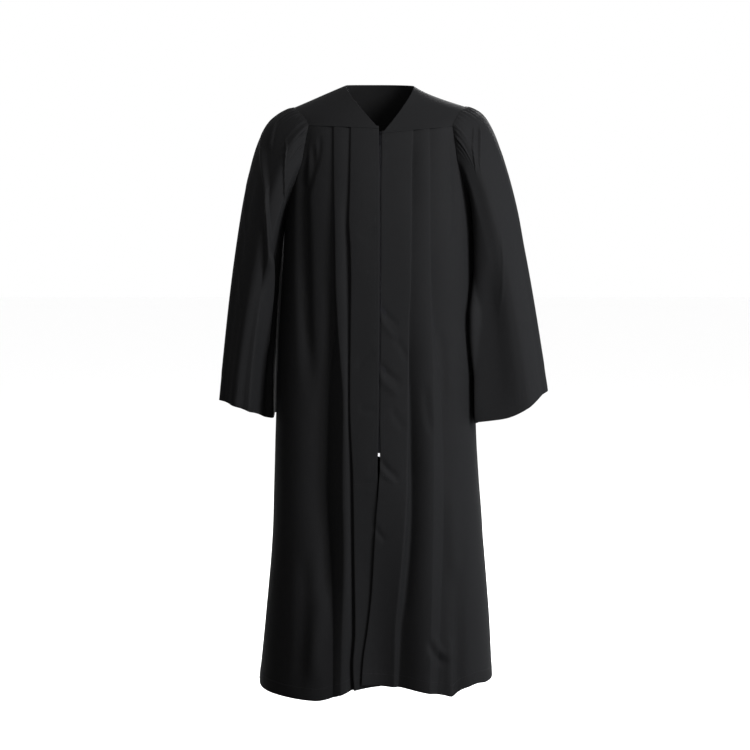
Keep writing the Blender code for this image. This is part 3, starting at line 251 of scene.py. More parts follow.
# The shoulder seam from the neck to the sleeve: out from the centre line, back, up
SHOULDER_SEAM = {
    RIGHT: ((0.0765, 0.002, -0.0025), (0.1085, 0.003, -0.0150), (0.1600, 0.004, -0.0385),
            (0.1900, 0.004, -0.0505)),
    LEFT: ((0.0715, 0.002, -0.0040), (0.0965, 0.003, -0.0215), (0.1410, 0.004, -0.0352),
           (0.1840, 0.004, -0.0485)),
}
BACK_NECK = (0.0, 0.070, 0.003)
CLOTH = 0.9 * MM
SEAM_GAP = 0.1 * MM  # what shows as a seam line between two pressed edges
TUCK = 5 * MM  # how far a pleated panel runs up behind its yoke


def armhole_edge(outline, drop):
    """Distance from the centre line to the armhole, or to the side seam below the underarm."""
    below = np.asarray(drop, float) - ARMHOLE_CURVE_STARTS
    t = np.clip(below / (UNDERARM - ARMHOLE_CURVE_STARTS), 0.0, 1.0)
    return outline.seam(drop) - ARMHOLE_INSET[outline.facing] * (1.0 - t ** ARMHOLE_BEND[0]) ** ARMHOLE_BEND[1]


def opening_edge(side, drop):
    """Where a front's edge lies from the centre line, and how far forward it stands."""
    line, half_gap, lift, tucked = (float(column(OPENING, k, drop)) * MM for k in range(1, 5))
    if side == LEFT:
        return line + half_gap, lift
    return -line + half_gap - tucked, 0.0


print("opening leans to x =", opening_edge(LEFT, 1.30)[0], "at the hem")

# %% [markdown]
# Each panel hangs in knife pleats: the cloth rolls over an edge, runs back underneath and turns forward
# again in a valley. At the yoke the pleats are pressed flat, and lower down they open into soft flutes.
# A sine wave can't lie over itself, so each pleat is two rolls and the strip between them. Its sizes
# change from the yoke to the hem, and these tables give them, a row for each drop that was measured.

# %% Pleats of the fronts and the back
# drop; then in mm: edge from the centre line, cloth running back under it, depth, edge roll, valley roll
FRONT_PLEATS = {
    RIGHT: (
        (
            (0.09, 65.0, 14.0, 3.2, 1.3, 0.4),
            (0.23, 67.0, 12.0, 5.2, 1.8, 0.7),
            (0.30, 69.0, 8.0, 8.0, 2.0, 1.4),
            (0.36, 66.0, 5.0, 10.0, 2.3, 2.2),
            (0.43, 65.0, 5.0, 9.5, 2.3, 2.0),
            (0.51, 66.0, 8.0, 6.5, 2.0, 1.0),
            (0.68, 67.5, 10.0, 5.5, 1.9, 0.8),
            (0.85, 61.0, 8.0, 8.0, 2.2, 1.4),
            (1.02, 58.5, 7.0, 9.0, 2.5, 1.8),
            (1.18, 56.5, 6.0, 10.0, 2.8, 2.0),
            (1.25, 61.0, 6.0, 10.0, 2.8, 2.0),
            (1.34, 56.5, 5.0, 10.0, 3.0, 2.0),
        ),
        (
            (0.09, 102.0, 14.0, 3.2, 1.3, 0.4),
            (0.23, 101.0, 11.0, 6.0, 1.9, 0.9),
            (0.30, 100.0, 7.0, 9.5, 2.4, 2.0),
            (0.43, 99.0, 2.0, 15.0, 4.0, 3.4),
            (0.51, 96.0, -4.0, 19.0, 5.0, 4.6),
            (0.59, 91.0, -18.0, 24.0, 6.0, 6.0),
            (0.68, 86.0, -30.0, 28.0, 7.0, 8.0),
            (0.85, 88.0, -32.0, 30.0, 8.0, 9.0),
            (1.02, 85.0, -22.0, 26.0, 8.0, 8.0),
            (1.18, 89.0, -10.0, 14.0, 7.0, 6.0),
            (1.34, 92.0, -8.0, 10.0, 6.0, 5.0),
        ),
    ),
    LEFT: (
        (
            (0.09, 68.5, 14.0, 3.2, 1.3, 0.4),
            (0.18, 65.5, 10.0, 7.0, 1.9, 1.2),
            (0.23, 65.0, 10.0, 7.0, 1.9, 1.2),
            (0.30, 64.5, 12.0, 5.4, 1.8, 0.8),
            (0.43, 63.0, 12.0, 5.2, 1.8, 0.8),
            (0.51, 60.0, 9.0, 7.0, 2.2, 1.2),
            (0.59, 59.5, 4.0, 13.0, 3.2, 3.0),
            (0.68, 60.0, 1.0, 18.0, 4.4, 4.6),
            (0.85, 58.0, -2.0, 24.0, 5.4, 7.0),
            (0.97, 52.0, -3.0, 25.0, 5.4, 8.0),
            (1.10, 41.0, -3.0, 21.0, 5.0, 7.0),
            (1.18, 34.0, -3.0, 15.0, 4.4, 5.0),
            (1.34, 31.0, -2.0, 9.0, 3.4, 3.4),
        ),
        (
            (0.09, 103.0, 14.0, 3.2, 1.3, 0.4),
            (0.23, 104.5, 12.0, 6.0, 1.9, 0.9),
            (0.36, 105.5, 6.0, 9.0, 2.4, 2.0),
            (0.43, 107.0, 2.0, 11.0, 3.0, 2.4),
            (0.51, 110.0, -3.0, 10.0, 4.0, 3.4),
            (0.68, 116.0, -12.0, 7.0, 5.0, 5.0),
            (0.85, 118.0, -16.0, 7.0, 6.0, 6.0),
            (1.10, 114.0, -14.0, 9.0, 6.0, 6.0),
            (1.34, 108.0, -10.0, 12.0, 6.0, 6.0),
        ),
    ),
}
BACK_PLEATS = {
    RIGHT: (
        (
            (0.11, 38.0, 14.0, 4.7, 1.8, 0.5),
            (0.26, 39.0, 10.0, 7.0, 2.0, 1.2),
            (0.42, 41.0, 3.0, 13.0, 3.4, 3.0),
            (0.62, 43.0, 0.0, 19.0, 5.0, 5.0),
            (0.90, 46.0, -4.0, 22.0, 7.0, 7.0),
            (1.34, 52.0, -7.0, 24.0, 8.0, 8.0),
        ),
        (
            (0.11, 82.0, 14.0, 4.7, 1.8, 0.5),
            (0.26, 84.0, 11.0, 6.0, 1.9, 1.0),
            (0.42, 90.0, 6.0, 10.0, 2.8, 2.2),
            (0.62, 97.0, 1.0, 17.0, 4.6, 4.6),
            (0.90, 104.0, -4.0, 24.0, 7.0, 7.0),
            (1.34, 122.0, -8.0, 27.0, 8.0, 8.0),
        ),
    ),
    LEFT: (
        (
            (0.11, 38.0, 14.0, 4.7, 1.8, 0.5),
            (0.26, 37.0, 11.0, 6.0, 1.9, 1.0),
            (0.42, 36.0, 5.0, 11.0, 3.0, 2.6),
            (0.62, 37.0, 1.0, 17.0, 4.6, 4.6),
            (0.90, 41.0, -3.0, 23.0, 7.0, 7.0),
            (1.34, 44.0, -6.0, 25.0, 8.0, 8.0),
        ),
        (
            (0.11, 82.0, 14.0, 4.7, 1.8, 0.5),
            (0.26, 81.0, 10.0, 7.0, 2.0, 1.2),
            (0.42, 82.0, 3.0, 14.0, 3.6, 3.4),
            (0.62, 88.0, -1.0, 20.0, 5.4, 5.4),
            (0.90, 98.0, -5.0, 23.0, 7.0, 7.0),
            (1.34, 110.0, -8.0, 25.0, 8.0, 8.0),
        ),
    ),
}
# drop, distance from the centre line, half width, depth of the soft trough outside the pleats
TROUGHS = {
    (RIGHT, FRONT): ((0.09, 160.0, 18.0, 0.0), (0.17, 168.0, 20.0, 5.0), (0.30, 168.0, 24.0, 11.0),
                     (0.50, 164.0, 24.0, 10.0), (0.70, 158.0, 24.0, 0.0), (1.34, 150.0, 22.0, 0.0)),
    (LEFT, FRONT): ((0.09, 158.0, 16.0, 0.0), (0.15, 158.0, 16.0, 3.0), (0.30, 160.0, 18.0, 3.0),
                    (0.45, 160.0, 20.0, 0.0), (0.90, 165.0, 26.0, 0.0), (1.20, 168.0, 26.0, 6.0),
                    (1.34, 172.0, 26.0, 9.0)),
    (RIGHT, BACK): ((0.11, 150.0, 16.0, 0.0), (0.40, 165.0, 22.0, 6.0), (0.80, 182.0, 26.0, 12.0),
                    (1.34, 200.0, 28.0, 18.0)),
    (LEFT, BACK): ((0.11, 150.0, 16.0, 0.0), (0.40, 160.0, 20.0, 8.0), (0.80, 172.0, 26.0, 14.0),
                   (1.34, 190.0, 28.0, 16.0)),
}
print("pleats:", sum(len(half) for table in (FRONT_PLEATS, BACK_PLEATS) for half in table.values()))

# %% [markdown]
# A course is one row of the panel, the cloth's path in plan at one drop. It runs flat to a pleat's edge,
# rolls over, comes back underneath, turns in the valley and climbs to the next flat. The rolls are arcs and
# the strip between them touches both, so the cloth never has a sharp corner.

# %% One course of cloth in plan
ROLL_STEPS = 8
CLIMB_BEND = 0.6  # below one, a valley starts steeply and eases out towards the next flat
TAIL_SHARE = 0.62  # share of the cloth outside the pleats that still climbs out of the last valley


def rolled_pleat(edge, level, under, depth, edge_roll, valley_roll):
    """The cloth's path in plan over a pleat's edge, back under it and round its valley."""
    edge_centre = np.array([edge - edge_roll, level - edge_roll])
    valley_centre = np.array([edge - under + valley_roll, level - depth + valley_roll])
    line = valley_centre - edge_centre
    turn = math.asin(min(1.0, (edge_roll + valley_roll) / math.hypot(*line)))
    heading = math.atan2(line[1], line[0]) - turn
    over = np.linspace(math.pi / 2, heading + math.pi / 2, ROLL_STEPS + 1)
    again = np.linspace(heading - math.pi / 2, -math.pi / 2, ROLL_STEPS + 1)
    first = edge_centre + edge_roll * np.stack([np.cos(over), np.sin(over)], axis=1)
    second = valley_centre + valley_roll * np.stack([np.cos(again), np.sin(again)], axis=1)
    strip = first[-1] + (second[0] - first[-1]) * np.linspace(0, 1, 5)[1:-1, None]
    return np.concatenate([first, strip, second])


def straight(start, end, steps):
    """Points from one place to the next in a straight line, without the first."""
    t = np.linspace(0.0, 1.0, steps + 1)[1:, None]
    return np.asarray(start) * (1 - t) + np.asarray(end) * t


def climb(start, end, steps):
    """Points from a valley up to the next flat, level at both ends."""
    t = np.linspace(0.0, 1.0, steps + 1)[1:]
    across = start[0] + (end[0] - start[0]) * t
    return np.stack([across, start[1] + (end[1] - start[1]) * ease(t**CLIMB_BEND)], axis=1)


def course(outline, drop, start, level, pleats):
    """One course of a pleated panel in plan, from its inner edge to its armhole or side seam."""
    end = float(armhole_edge(outline, drop)) - SEAM_GAP
    points = [np.array([[start, level]])]
    here = points[0][-1]
    for number, table in enumerate(pleats):
        edge, under, depth, edge_roll, valley_roll = (float(column(table, k, drop)) * MM for k in range(1, 6))
        edge = outline.along_at(edge, drop)
        flat_end = np.array([edge - edge_roll, level])
        flat = straight(here, flat_end, 18) if number == 0 else climb(here, flat_end, 12)
        pleat = rolled_pleat(edge, level, under, depth, edge_roll, valley_roll)
        passed = np.array([max(pleat[-1, 0] + MM, edge + 2 * MM), pleat[-1, 1]])
        points += [flat[:-1], pleat, straight(pleat[-1], passed, 5)]
        here, level = passed, 0.0
    tail = climb(here, (here[0] + TAIL_SHARE * (end - here[0]), 0.0), 16)
    tail = np.concatenate([tail, straight(tail[-1], (end, 0.0), 10)])
    trough = TROUGHS[outline.side, outline.facing]
    centre, width, depth = (float(column(trough, k, drop)) * MM for k in range(1, 4))
    held = ease((end - tail[:, 0]) / (15 * MM))
    tail[:, 1] -= depth * bump(tail[:, 0] - outline.along_at(centre, drop), width) * held
    return np.concatenate(points + [tail])


print("points in a course:", len(course(OUTLINES[LEFT, FRONT], 0.5, 0.0, 0.0, FRONT_PLEATS[LEFT])))

# %% [markdown]
# Pressed pleats alone look like card. Real cloth also carries creases where it strains and very slow
# waves where it was rolled up in its bag. Each crease is one row: where it starts and ends on the panel,
# how it bows, how wide and how deep it is. A negative depth makes a ridge. All layers of a pleat move
# together, so a crease never pushes one layer through another.

# %% Creases and slow waves
# start along, start drop, end along, end drop, bow, half width, depth; all in mm
CREASES = {
    (LEFT, FRONT): (
        (-4, 474, 40, 520, 4, 8, 2.0),
        (-4, 498, 36, 548, 4, 8, -1.6),
        (-6, 596, 44, 640, 5, 10, 2.6),
        (-6, 622, 40, 664, 5, 10, -2.0),
        (-4, 800, 40, 846, 4, 8, 3.2),
        (-4, 822, 34, 852, 3, 7, -2.4),
        (-8, 850, 62, 856, 2, 5, 1.2),
        (-14, 944, 14, 980, 4, 8, 2.6),
        (24, 540, 58, 600, -4, 12, 1.4),
        (20, 690, 56, 742, 4, 13, 1.3),
        (106, 1190, 152, 1252, 12, 10, 5.0),
        (120, 1186, 162, 1236, 10, 10, -3.5),
        (158, 1186, 160, 1330, 0, 14, -5.0),
        (96, 640, 112, 760, 4, 14, 2.2),
        (130, 520, 138, 700, -5, 18, 2.4),
        (160, 860, 172, 1080, 6, 26, -3.0),
    ),
    (RIGHT, FRONT): (
        (0, 402, 34, 400, 1, 4, 0.9),
        (-2, 852, 60, 853, 1, 5, 1.0),
        (8, 310, 52, 330, 4, 12, 1.0),
        (10, 570, 54, 610, -5, 13, 1.3),
        (6, 700, 50, 690, 4, 12, 1.1),
        (4, 800, 30, 830, 3, 8, 1.2),
        (120, 1060, 150, 1300, -10, 26, -3.5),
        (176, 1000, 190, 1320, 6, 26, 4.5),
        (130, 420, 138, 640, 5, 16, -2.0),
        (112, 930, 128, 1130, -6, 20, 2.5),
        (150, 130, 170, 250, 8, 12, 3.5),
        (134, 112, 150, 200, 6, 9, 2.0),
    ),
    (RIGHT, BACK): (
        (10, 300, 30, 520, 5, 14, 1.8),
        (120, 240, 150, 420, 8, 16, 2.5),
        (60, 900, 70, 1200, -8, 18, 2.4),
        (190, 900, 214, 1260, 8, 28, -4.0),
        (150, 170, 176, 290, 6, 10, 3.0),
    ),
    (LEFT, BACK): (
        (8, 640, 20, 980, 5, 16, 2.0),
        (118, 260, 140, 480, -8, 16, 2.5),
        (70, 820, 64, 1150, 6, 16, 2.2),
        (186, 860, 204, 1240, -8, 28, -4.0),
        (150, 170, 176, 280, 6, 10, 3.0),
    ),
}


def crease_depth(rows, across, down):
    """How far a table of creases moves the cloth in, at places given in the table's own directions."""
    depth = np.zeros(np.broadcast(across, down).shape)
    for x0, y0, x1, y1, bow, width, deep in rows:
        run = np.array([x1 - x0, y1 - y0], float)
        length = math.hypot(*run)
        run /= length
        t = ((across - x0) * run[0] + (down - y0) * run[1]) / length
        middle = np.clip(t, 0.0, 1.0)
        aside = (across - x0) * -run[1] + (down - y0) * run[0] - bow * 4 * middle * (1 - middle)
        past = np.maximum(0.0, np.maximum(-t, t - 1)) * length
        fading = ease(np.minimum(t, 1 - t) / 0.3 + 0.12)
        depth = depth + deep * bump(np.hypot(aside, past), width) * fading
    return depth


def slow_waves(across, down, start):
    """Gentle unevenness of a hanging panel, in millimetres."""
    tall = np.sin(across / 31 + 1.7 * np.sin(down / 210 + start) + start)
    wide = np.sin(down / 67 + 1.3 * np.sin(across / 44 + 2 * start))
    fine = np.sin(across / 13.5 + down / 61 + 3 * start) * np.sin(down / 38 - across / 52)
    return 0.75 * tall + 0.40 * wide * tall + 0.22 * fine


print("deepest crease at the hip, mm:", float(crease_depth(CREASES[LEFT, FRONT], 20.0, 825.0)))

# %% [markdown]
# A sheet of cloth has two faces and a soft edge. From a grid of points for the outer face and one for the
# inner face, a shell closes the edge with a small half round, so that hems and cuffs catch the light
# as folded cloth does. Every point also keeps its place on the cut panel, in metres. The weave is drawn
# from that place, so that the threads bend with the folds.

# %% Two faces and a soft edge
EDGE_STEPS = 3


def closing_edge(outer, inner, outwards):
    """Rows of points between two border lines, bulging outwards in a half round."""
    middle, half = (outer + inner) / 2, (outer - inner) / 2
    size = np.linalg.norm(half, axis=1)[:, None]
    outwards = outwards / np.maximum(np.linalg.norm(outwards, axis=1)[:, None], 1e-9)
    turns = np.linspace(0, math.pi, EDGE_STEPS + 2)[1:-1]
    return [middle + half * math.cos(a) + outwards * size * math.sin(a) for a in turns]


def cloth_shell(name, outer, inner, threads, ring=False):
    """A closed thin shell from two grids of points; ring joins the last column to the first."""
    rows, columns = outer.shape[:2]
    index = np.arange(rows * columns).reshape(rows, columns)
    wrapped = np.concatenate([index, index[:, :1]], axis=1) if ring else index
    corners = (wrapped[:-1, :-1], wrapped[1:, :-1], wrapped[1:, 1:], wrapped[:-1, 1:])
    outside = np.stack(corners, axis=-1).reshape(-1, 4)
    faces = [outside, outside[:, ::-1] + rows * columns]
    points = [outer.reshape(-1, 3), inner.reshape(-1, 3)]
    places = [threads.reshape(-1, 3)] * 2
    away = np.zeros_like(outer)
    away[0] += outer[0] - outer[1]
    away[-1] += outer[-1] - outer[-2]
    if ring:
        loops = [index[0], index[-1][::-1]]
    else:
        away[:, 0] += outer[:, 0] - outer[:, 1]
        away[:, -1] += outer[:, -1] - outer[:, -2]
        loops = [np.concatenate([index[0], index[1:, -1], index[-1, -2::-1], index[-2:0:-1, 0]])]
    count = 2 * rows * columns
    for loop in loops:
        flat = [grid.reshape(-1, 3)[loop] for grid in (outer, inner, away, threads)]
        bands = closing_edge(*flat[:3])
        lines = [loop] + [count + k * len(loop) + np.arange(len(loop)) for k in range(EDGE_STEPS)]
        lines.append(loop + rows * columns)
        for upper, lower in zip(lines, lines[1:]):
            faces.append(np.stack([upper, np.roll(upper, -1), np.roll(lower, -1), lower], axis=1))
        points += bands
        places += [flat[3]] * EDGE_STEPS
        count += EDGE_STEPS * len(loop)
    return piece(name, np.concatenate(points), np.concatenate(faces), np.concatenate(places))


def piece(name, points, faces, threads=None):
    """A mesh object whose faces all point outwards."""
    faces = np.asarray(faces)
    a, b, c = (points[faces[:, k]] for k in range(3))
    volume = np.einsum("ij,ij->", a, np.cross(b, c))
    if faces.shape[1] == 4:
        volume += np.einsum("ij,ij->", a, np.cross(c, points[faces[:, 3]]))
    if volume < 0:
        faces = faces[:, ::-1]
    mesh = bpy.data.meshes.new(name)
    mesh.from_pydata(points.tolist(), [], faces.tolist())
    if threads is not None:
        kept = mesh.attributes.new("threads", "FLOAT_VECTOR", "POINT")
        kept.data.foreach_set("vector", threads.astype(np.float32).ravel())
    mesh.shade_smooth()
    made = bpy.data.objects.new(name, mesh)
    bpy.context.scene.collection.objects.link(made)
    return made


def area(points):
    """Area of a grid of points."""
    across, down = np.diff(points, axis=1)[:-1], np.diff(points, axis=0)[:, :-1]
    return float(np.linalg.norm(np.cross(across, down), axis=-1).sum())


print("points round a soft edge:", EDGE_STEPS + 2)

# %% [markdown]
# Gown cloth is a plain-woven polyester, dyed black all through and nearly without gloss. Three things
# make it read as cloth and not as black card: the raised threads, a faint light bloom at grazing angles
# from their loose fibres, and small changes of tone along single yarns. The threads are two crossed sine
# waves, because that is what a plain weave is, with noise stretched along each yarn.

# %% A woven finish
YARN_TONES = (0.78, 1.25)  # the darkest and the palest yarn, against the dyed colour


def woven(name, colour, pitch, roughness, sheen, lift):
    """A plain-woven cloth drawn from each point's place on the cut panel."""
    material = bpy.data.materials.new(name)
    material.use_nodes = True
    tree = material.node_tree
    shader = tree.nodes["Principled BSDF"]

    def node(kind, **values):
        made = tree.nodes.new(kind)
        for key, value in values.items():
            setattr(made, key, value)
        return made

    def maths(operation, first, second=None):
        made = node("ShaderNodeMath", operation=operation)
        for slot_number, value in enumerate((first, second)):
            if isinstance(value, (int, float)):
                made.inputs[slot_number].default_value = value
            elif value is not None:
                tree.links.new(value, made.inputs[slot_number])
        return made.outputs[0]

    def noise(scale, stretch, detail):
        spread = node("ShaderNodeMapping")
        spread.inputs["Scale"].default_value = stretch
        grain = node("ShaderNodeTexNoise")
        grain.inputs["Scale"].default_value = scale
        grain.inputs["Detail"].default_value = detail
        tree.links.new(place.outputs["Vector"], spread.inputs["Vector"])
        tree.links.new(spread.outputs["Vector"], grain.inputs["Vector"])
        return grain.outputs["Fac"]

    place = node("ShaderNodeAttribute", attribute_name="threads")
    parts = node("ShaderNodeSeparateXYZ")
    tree.links.new(place.outputs["Vector"], parts.inputs["Vector"])
    weft = maths("SINE", maths("MULTIPLY", parts.outputs["X"], math.pi / pitch))
    warp = maths("SINE", maths("MULTIPLY", parts.outputs["Y"], math.pi / pitch))
    weave = maths("MULTIPLY", weft, warp)
    along_warp, along_weft = (1 / (2 * pitch), 25.0, 1.0), (25.0, 1 / (2 * pitch), 1.0)
    slubs = maths("ADD", noise(1.0, along_warp, 1.0), noise(1.0, along_weft, 1.0))
    height = maths("ADD", maths("MULTIPLY", weave, 0.5), slubs)
    raised = node("ShaderNodeBump")
    raised.inputs["Strength"].default_value = lift
    raised.inputs["Distance"].default_value = 0.25 * pitch
    tree.links.new(height, raised.inputs["Height"])
    tree.links.new(raised.outputs["Normal"], shader.inputs["Normal"])
    tone = node("ShaderNodeMix", data_type="RGBA")
    for end, share in zip("AB", YARN_TONES):
        tone.inputs[end].default_value = (*(share * c for c in colour), 1.0)
    clouds = noise(14.0, (1.0, 0.6, 1.0), 4.0)
    mixed = maths("ADD", maths("MULTIPLY", slubs, 0.35), maths("MULTIPLY", clouds, 0.30))
    tree.links.new(mixed, tone.inputs["Factor"])
    tree.links.new(tone.outputs["Result"], shader.inputs["Base Color"])
    shader.inputs["Roughness"].default_value = roughness
    shader.inputs["Specular IOR Level"].default_value = 0.024
    shader.inputs["Sheen Weight"].default_value = sheen
    shader.inputs["Sheen Roughness"].default_value = 0.45
    shader.inputs["Sheen Tint"].default_value = (0.85, 0.92, 1.0, 1.0)
    return material


THREAD_PITCH = 0.42 * MM
GOWN_CLOTH = woven("gown_cloth", (0.0038, 0.0038, 0.0040), THREAD_PITCH, 0.75, 0.003, 0.5)
print("threads to the centimetre:", round(10 * MM / THREAD_PITCH))


def dressed(made, node, material=GOWN_CLOTH, body="gown"):
    """Gives a piece its finish, lets it ride on its body and stand for a solid of the frame."""
    made.data.materials.append(material)
    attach(made, body)
    if node:
        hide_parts(node)
    return made


# %% [markdown]
# The two fronts. Their courses are 7 mm apart, closer than any crease is wide. The top runs up behind the
# yoke, as a seam does. At the hem the cloth is turned up once, so it stands a thread's width prouder
# below the hem line and puckers slightly where the stitches pull.

# %% Hang a pleated panel
HEM_DEPTH = 28 * MM


def panel_grids(side, facing, drops, tops, hems, start_of):
    """Outer and inner points and thread places of a pleated panel."""
    outline = OUTLINES[side, facing]
    pleats = (FRONT_PLEATS if facing == FRONT else BACK_PLEATS)[side]
    outer, inner, threads = [], [], []
    share = (drops - drops[0]) / (drops[-1] - drops[0])
    for drop, t in zip(drops, share):
        plan = course(outline, drop, *start_of(drop), pleats)
        top, hem = tops(plan[:, 0]) - TUCK, hems(plan[:, 0])
        level = top + (hem - top) * t
        across, down = plan[:, 0] / MM, level / MM
        inwards = crease_depth(CREASES[side, facing], across, down)
        inwards = inwards + slow_waves(across, down, 1.1 * side + 0.7 * facing) * ease((level - top) / 0.12)
        above_hem = hem - level
        pucker = 0.22 * np.sin(across * 0.42 + 2 * np.sin(across * 0.09)) * bump(above_hem - HEM_DEPTH, 9 * MM)
        proud = 0.55 * ease((HEM_DEPTH - above_hem) / (3 * MM) + 0.5)
        behind_yoke = 2.2 * ease((top + TUCK + MM - level) / (4 * MM))
        plan[:, 1] -= (inwards + pucker - proud + behind_yoke) * MM
        ahead = np.gradient(plan, axis=0)
        ahead /= np.maximum(np.linalg.norm(ahead, axis=1)[:, None], 1e-9)
        under = plan - CLOTH * np.stack([-ahead[:, 1], ahead[:, 0]], axis=1)
        outer.append(outline.place(plan[:, 0], plan[:, 1], level))
        inner.append(outline.place(under[:, 0], under[:, 1], level))
        cut = np.concatenate([[0.0], np.cumsum(np.hypot(*np.diff(plan, axis=0).T))])
        threads.append(np.stack([cut, level, np.zeros_like(cut)], axis=1))
    return np.array(outer), np.array(inner), np.array(threads)


FRONT_DROPS = np.linspace(0.0955, 1.305, 174)
front_grids = {}
for side in (RIGHT, LEFT):
    front_grids[side] = panel_grids(
        side, FRONT, FRONT_DROPS,
        lambda along, side=side: column(FRONT_SEAM[side], 1, along),
        lambda along, side=side: column(FRONT_HEM[side], 1, along),
        lambda drop, side=side: opening_edge(side, drop),
    )
    name = "front_" + NAMES[side]
    made = dressed(cloth_shell(name + "_cloth", *front_grids[side]), name)

# %% [markdown]
# The back is one panel with its folds on both sides of the middle. Both halves are worked out as the
# fronts were, the right half is turned round, and they share the centre line.

# %% The back panel
BACK_DROPS = np.linspace(0.1255, 1.31, 150)
halves = {}
for side in (RIGHT, LEFT):
    halves[side] = panel_grids(
        side, BACK, BACK_DROPS,
        lambda along: column(BACK_SEAM, 1, along),
        lambda along, side=side: column(BACK_HEM[side], 1, along),
        lambda drop: (0.0, 0.0),
    )
joined = []
for k in range(3):
    right, left = halves[RIGHT][k].copy(), halves[LEFT][k].copy()
    if k == 2:
        right[:, :, 0] *= -1
    else:
        middle = (right[:, 0] + left[:, 0]) / 2
        middle[:, 0] = 0.0
        right[:, 0], left[:, 0] = middle, middle
    joined.append(np.concatenate([right[:, ::-1], left[:, 1:]], axis=1))
back = dressed(cloth_shell("back_cloth", *joined), "back")

# %% [markdown]
# Plain yokes carry everything. Each has four sewn edges: shoulder seam, neck, armhole and yoke seam. The
# curved ones are drawn as a pattern cutter draws them, with two ends and two handles that say which way
# the curve leaves each end.

# %% Edges of the yokes
NECK_FOOT_DROP = 0.0975
YOKE_REACH = 0.16  # how far out the yoke seam is read for the armhole's corner
# Each handle from its end of the curve: out from the centre line, back, up
FRONT_NECK_BENDS = ((0.002, -0.047, -0.014), (0.032, 0.014, 0.036))
BACK_NECK_BENDS = ((0.0, 0.042, 0.004), (0.040, 0.0, 0.0))
YOKE_ARMHOLE_BENDS = ((0.001, 0.036, -0.004), (0.008, -0.0216, 0.026))


def bezier(points, t):
    """Points of a curve between its first and last point, drawn towards the two in between."""
    a, b, c, d = (np.asarray(p, float) for p in points)
    t = np.asarray(t, float)[..., None]
    return a * (1 - t) ** 3 + 3 * b * t * (1 - t) ** 2 + 3 * c * t * t * (1 - t) + d * t**3


def mirrored(point, side):
    return np.array([side * point[0], point[1], point[2]])


def neck_line(side, t):
    """The front neck, from the shoulder seam down to the opening."""
    foot = OUTLINES[side, FRONT].place(opening_edge(side, NECK_FOOT_DROP)[0], 0.0, 0.1)
    foot[2] = -column(FRONT_SEAM[side], 1, 0.0)
    neck = mirrored(SHOULDER_SEAM[side][0], side)
    first, second = (mirrored(bend, side) for bend in FRONT_NECK_BENDS)
    return bezier([neck, neck + first, foot + second, foot], t)


def back_neck_line(side, t):
    neck = mirrored(SHOULDER_SEAM[side][0], side)
    first, second = (mirrored(bend, side) for bend in BACK_NECK_BENDS)
    return bezier([neck, neck + first, np.array(BACK_NECK) + second, BACK_NECK], t)


def shoulder_line(side, t):
    return bezier([mirrored(point, side) for point in SHOULDER_SEAM[side]], t)


def yoke_corner_drop(side, facing):
    """The drop of the corner where a yoke's seam meets the armhole."""
    return float(column(FRONT_SEAM[side] if facing == FRONT else BACK_SEAM, 1, YOKE_REACH))


def yoke_armhole(side, facing, t, gap):
    """A yoke's outer edge, from the shoulder point down to the yoke seam."""
    outline = OUTLINES[side, facing]
    drop = yoke_corner_drop(side, facing)
    corner = outline.place(float(armhole_edge(outline, drop)) + gap, 0.0, drop)
    start = shoulder_line(side, [1.0])[0] + (gap * side, 0.0, 0.0)
    first, second = (mirrored(bend, side) * (1, facing, 1) for bend in YOKE_ARMHOLE_BENDS)
    return bezier([start, start + first, corner + second, corner], t)


print("yoke corners drop, m:", [round(yoke_corner_drop(side, FRONT), 3) for side in (RIGHT, LEFT)])

# %% [markdown]
# A yoke is a patch stretched between its four edges: what lies across and what lies down are blended, and
# the corners, counted twice, are taken off once. Its lower edge stands a cloth's width proud of the pleats,
# and the middle is a little uneven, because no sewn cloth lies dead flat.

# %% The front yokes
YOKE_STEPS = np.linspace(0, 1, 64)
YOKE_ROWS = np.linspace(0, 1, 48)


def patch(top, bottom, first, last):
    """A grid through four edge curves."""
    u = np.linspace(0, 1, len(top))[None, :, None]
    v = np.linspace(0, 1, len(first))[:, None, None]
    across = (1 - v) * top[None] + v * bottom[None]
    down = (1 - u) * first[:, None] + u * last[:, None]
    corners = (1 - v) * ((1 - u) * top[0] + u * top[-1]) + v * ((1 - u) * bottom[0] + u * bottom[-1])
    return across + down - corners


def meeting(line, start, end):
    """A line eased over, so that its ends meet these points."""
    share = np.linspace(0, 1, len(line))[:, None]
    return line + (start - line[0]) * (1 - share) + (end - line[-1]) * share


def grid_normals(grid, towards):
    """The direction square to a grid at each point, on the side that faces a place."""
    normals = np.cross(np.gradient(grid, axis=1), np.gradient(grid, axis=0))
    normals /= np.maximum(np.linalg.norm(normals, axis=2)[:, :, None], 1e-12)
    centre = (grid.shape[0] // 2, grid.shape[1] // 2)
    return normals * np.sign(normals[centre] @ (np.asarray(towards) - grid[centre]))


def run_lengths(grid, axis):
    """How far along the cloth each point lies from the first of its row or column."""
    steps = np.linalg.norm(np.diff(grid, axis=axis), axis=2)
    start = np.zeros_like(np.take(steps, [0], axis=axis))
    return np.concatenate([start, np.cumsum(steps, axis=axis)], axis=axis)


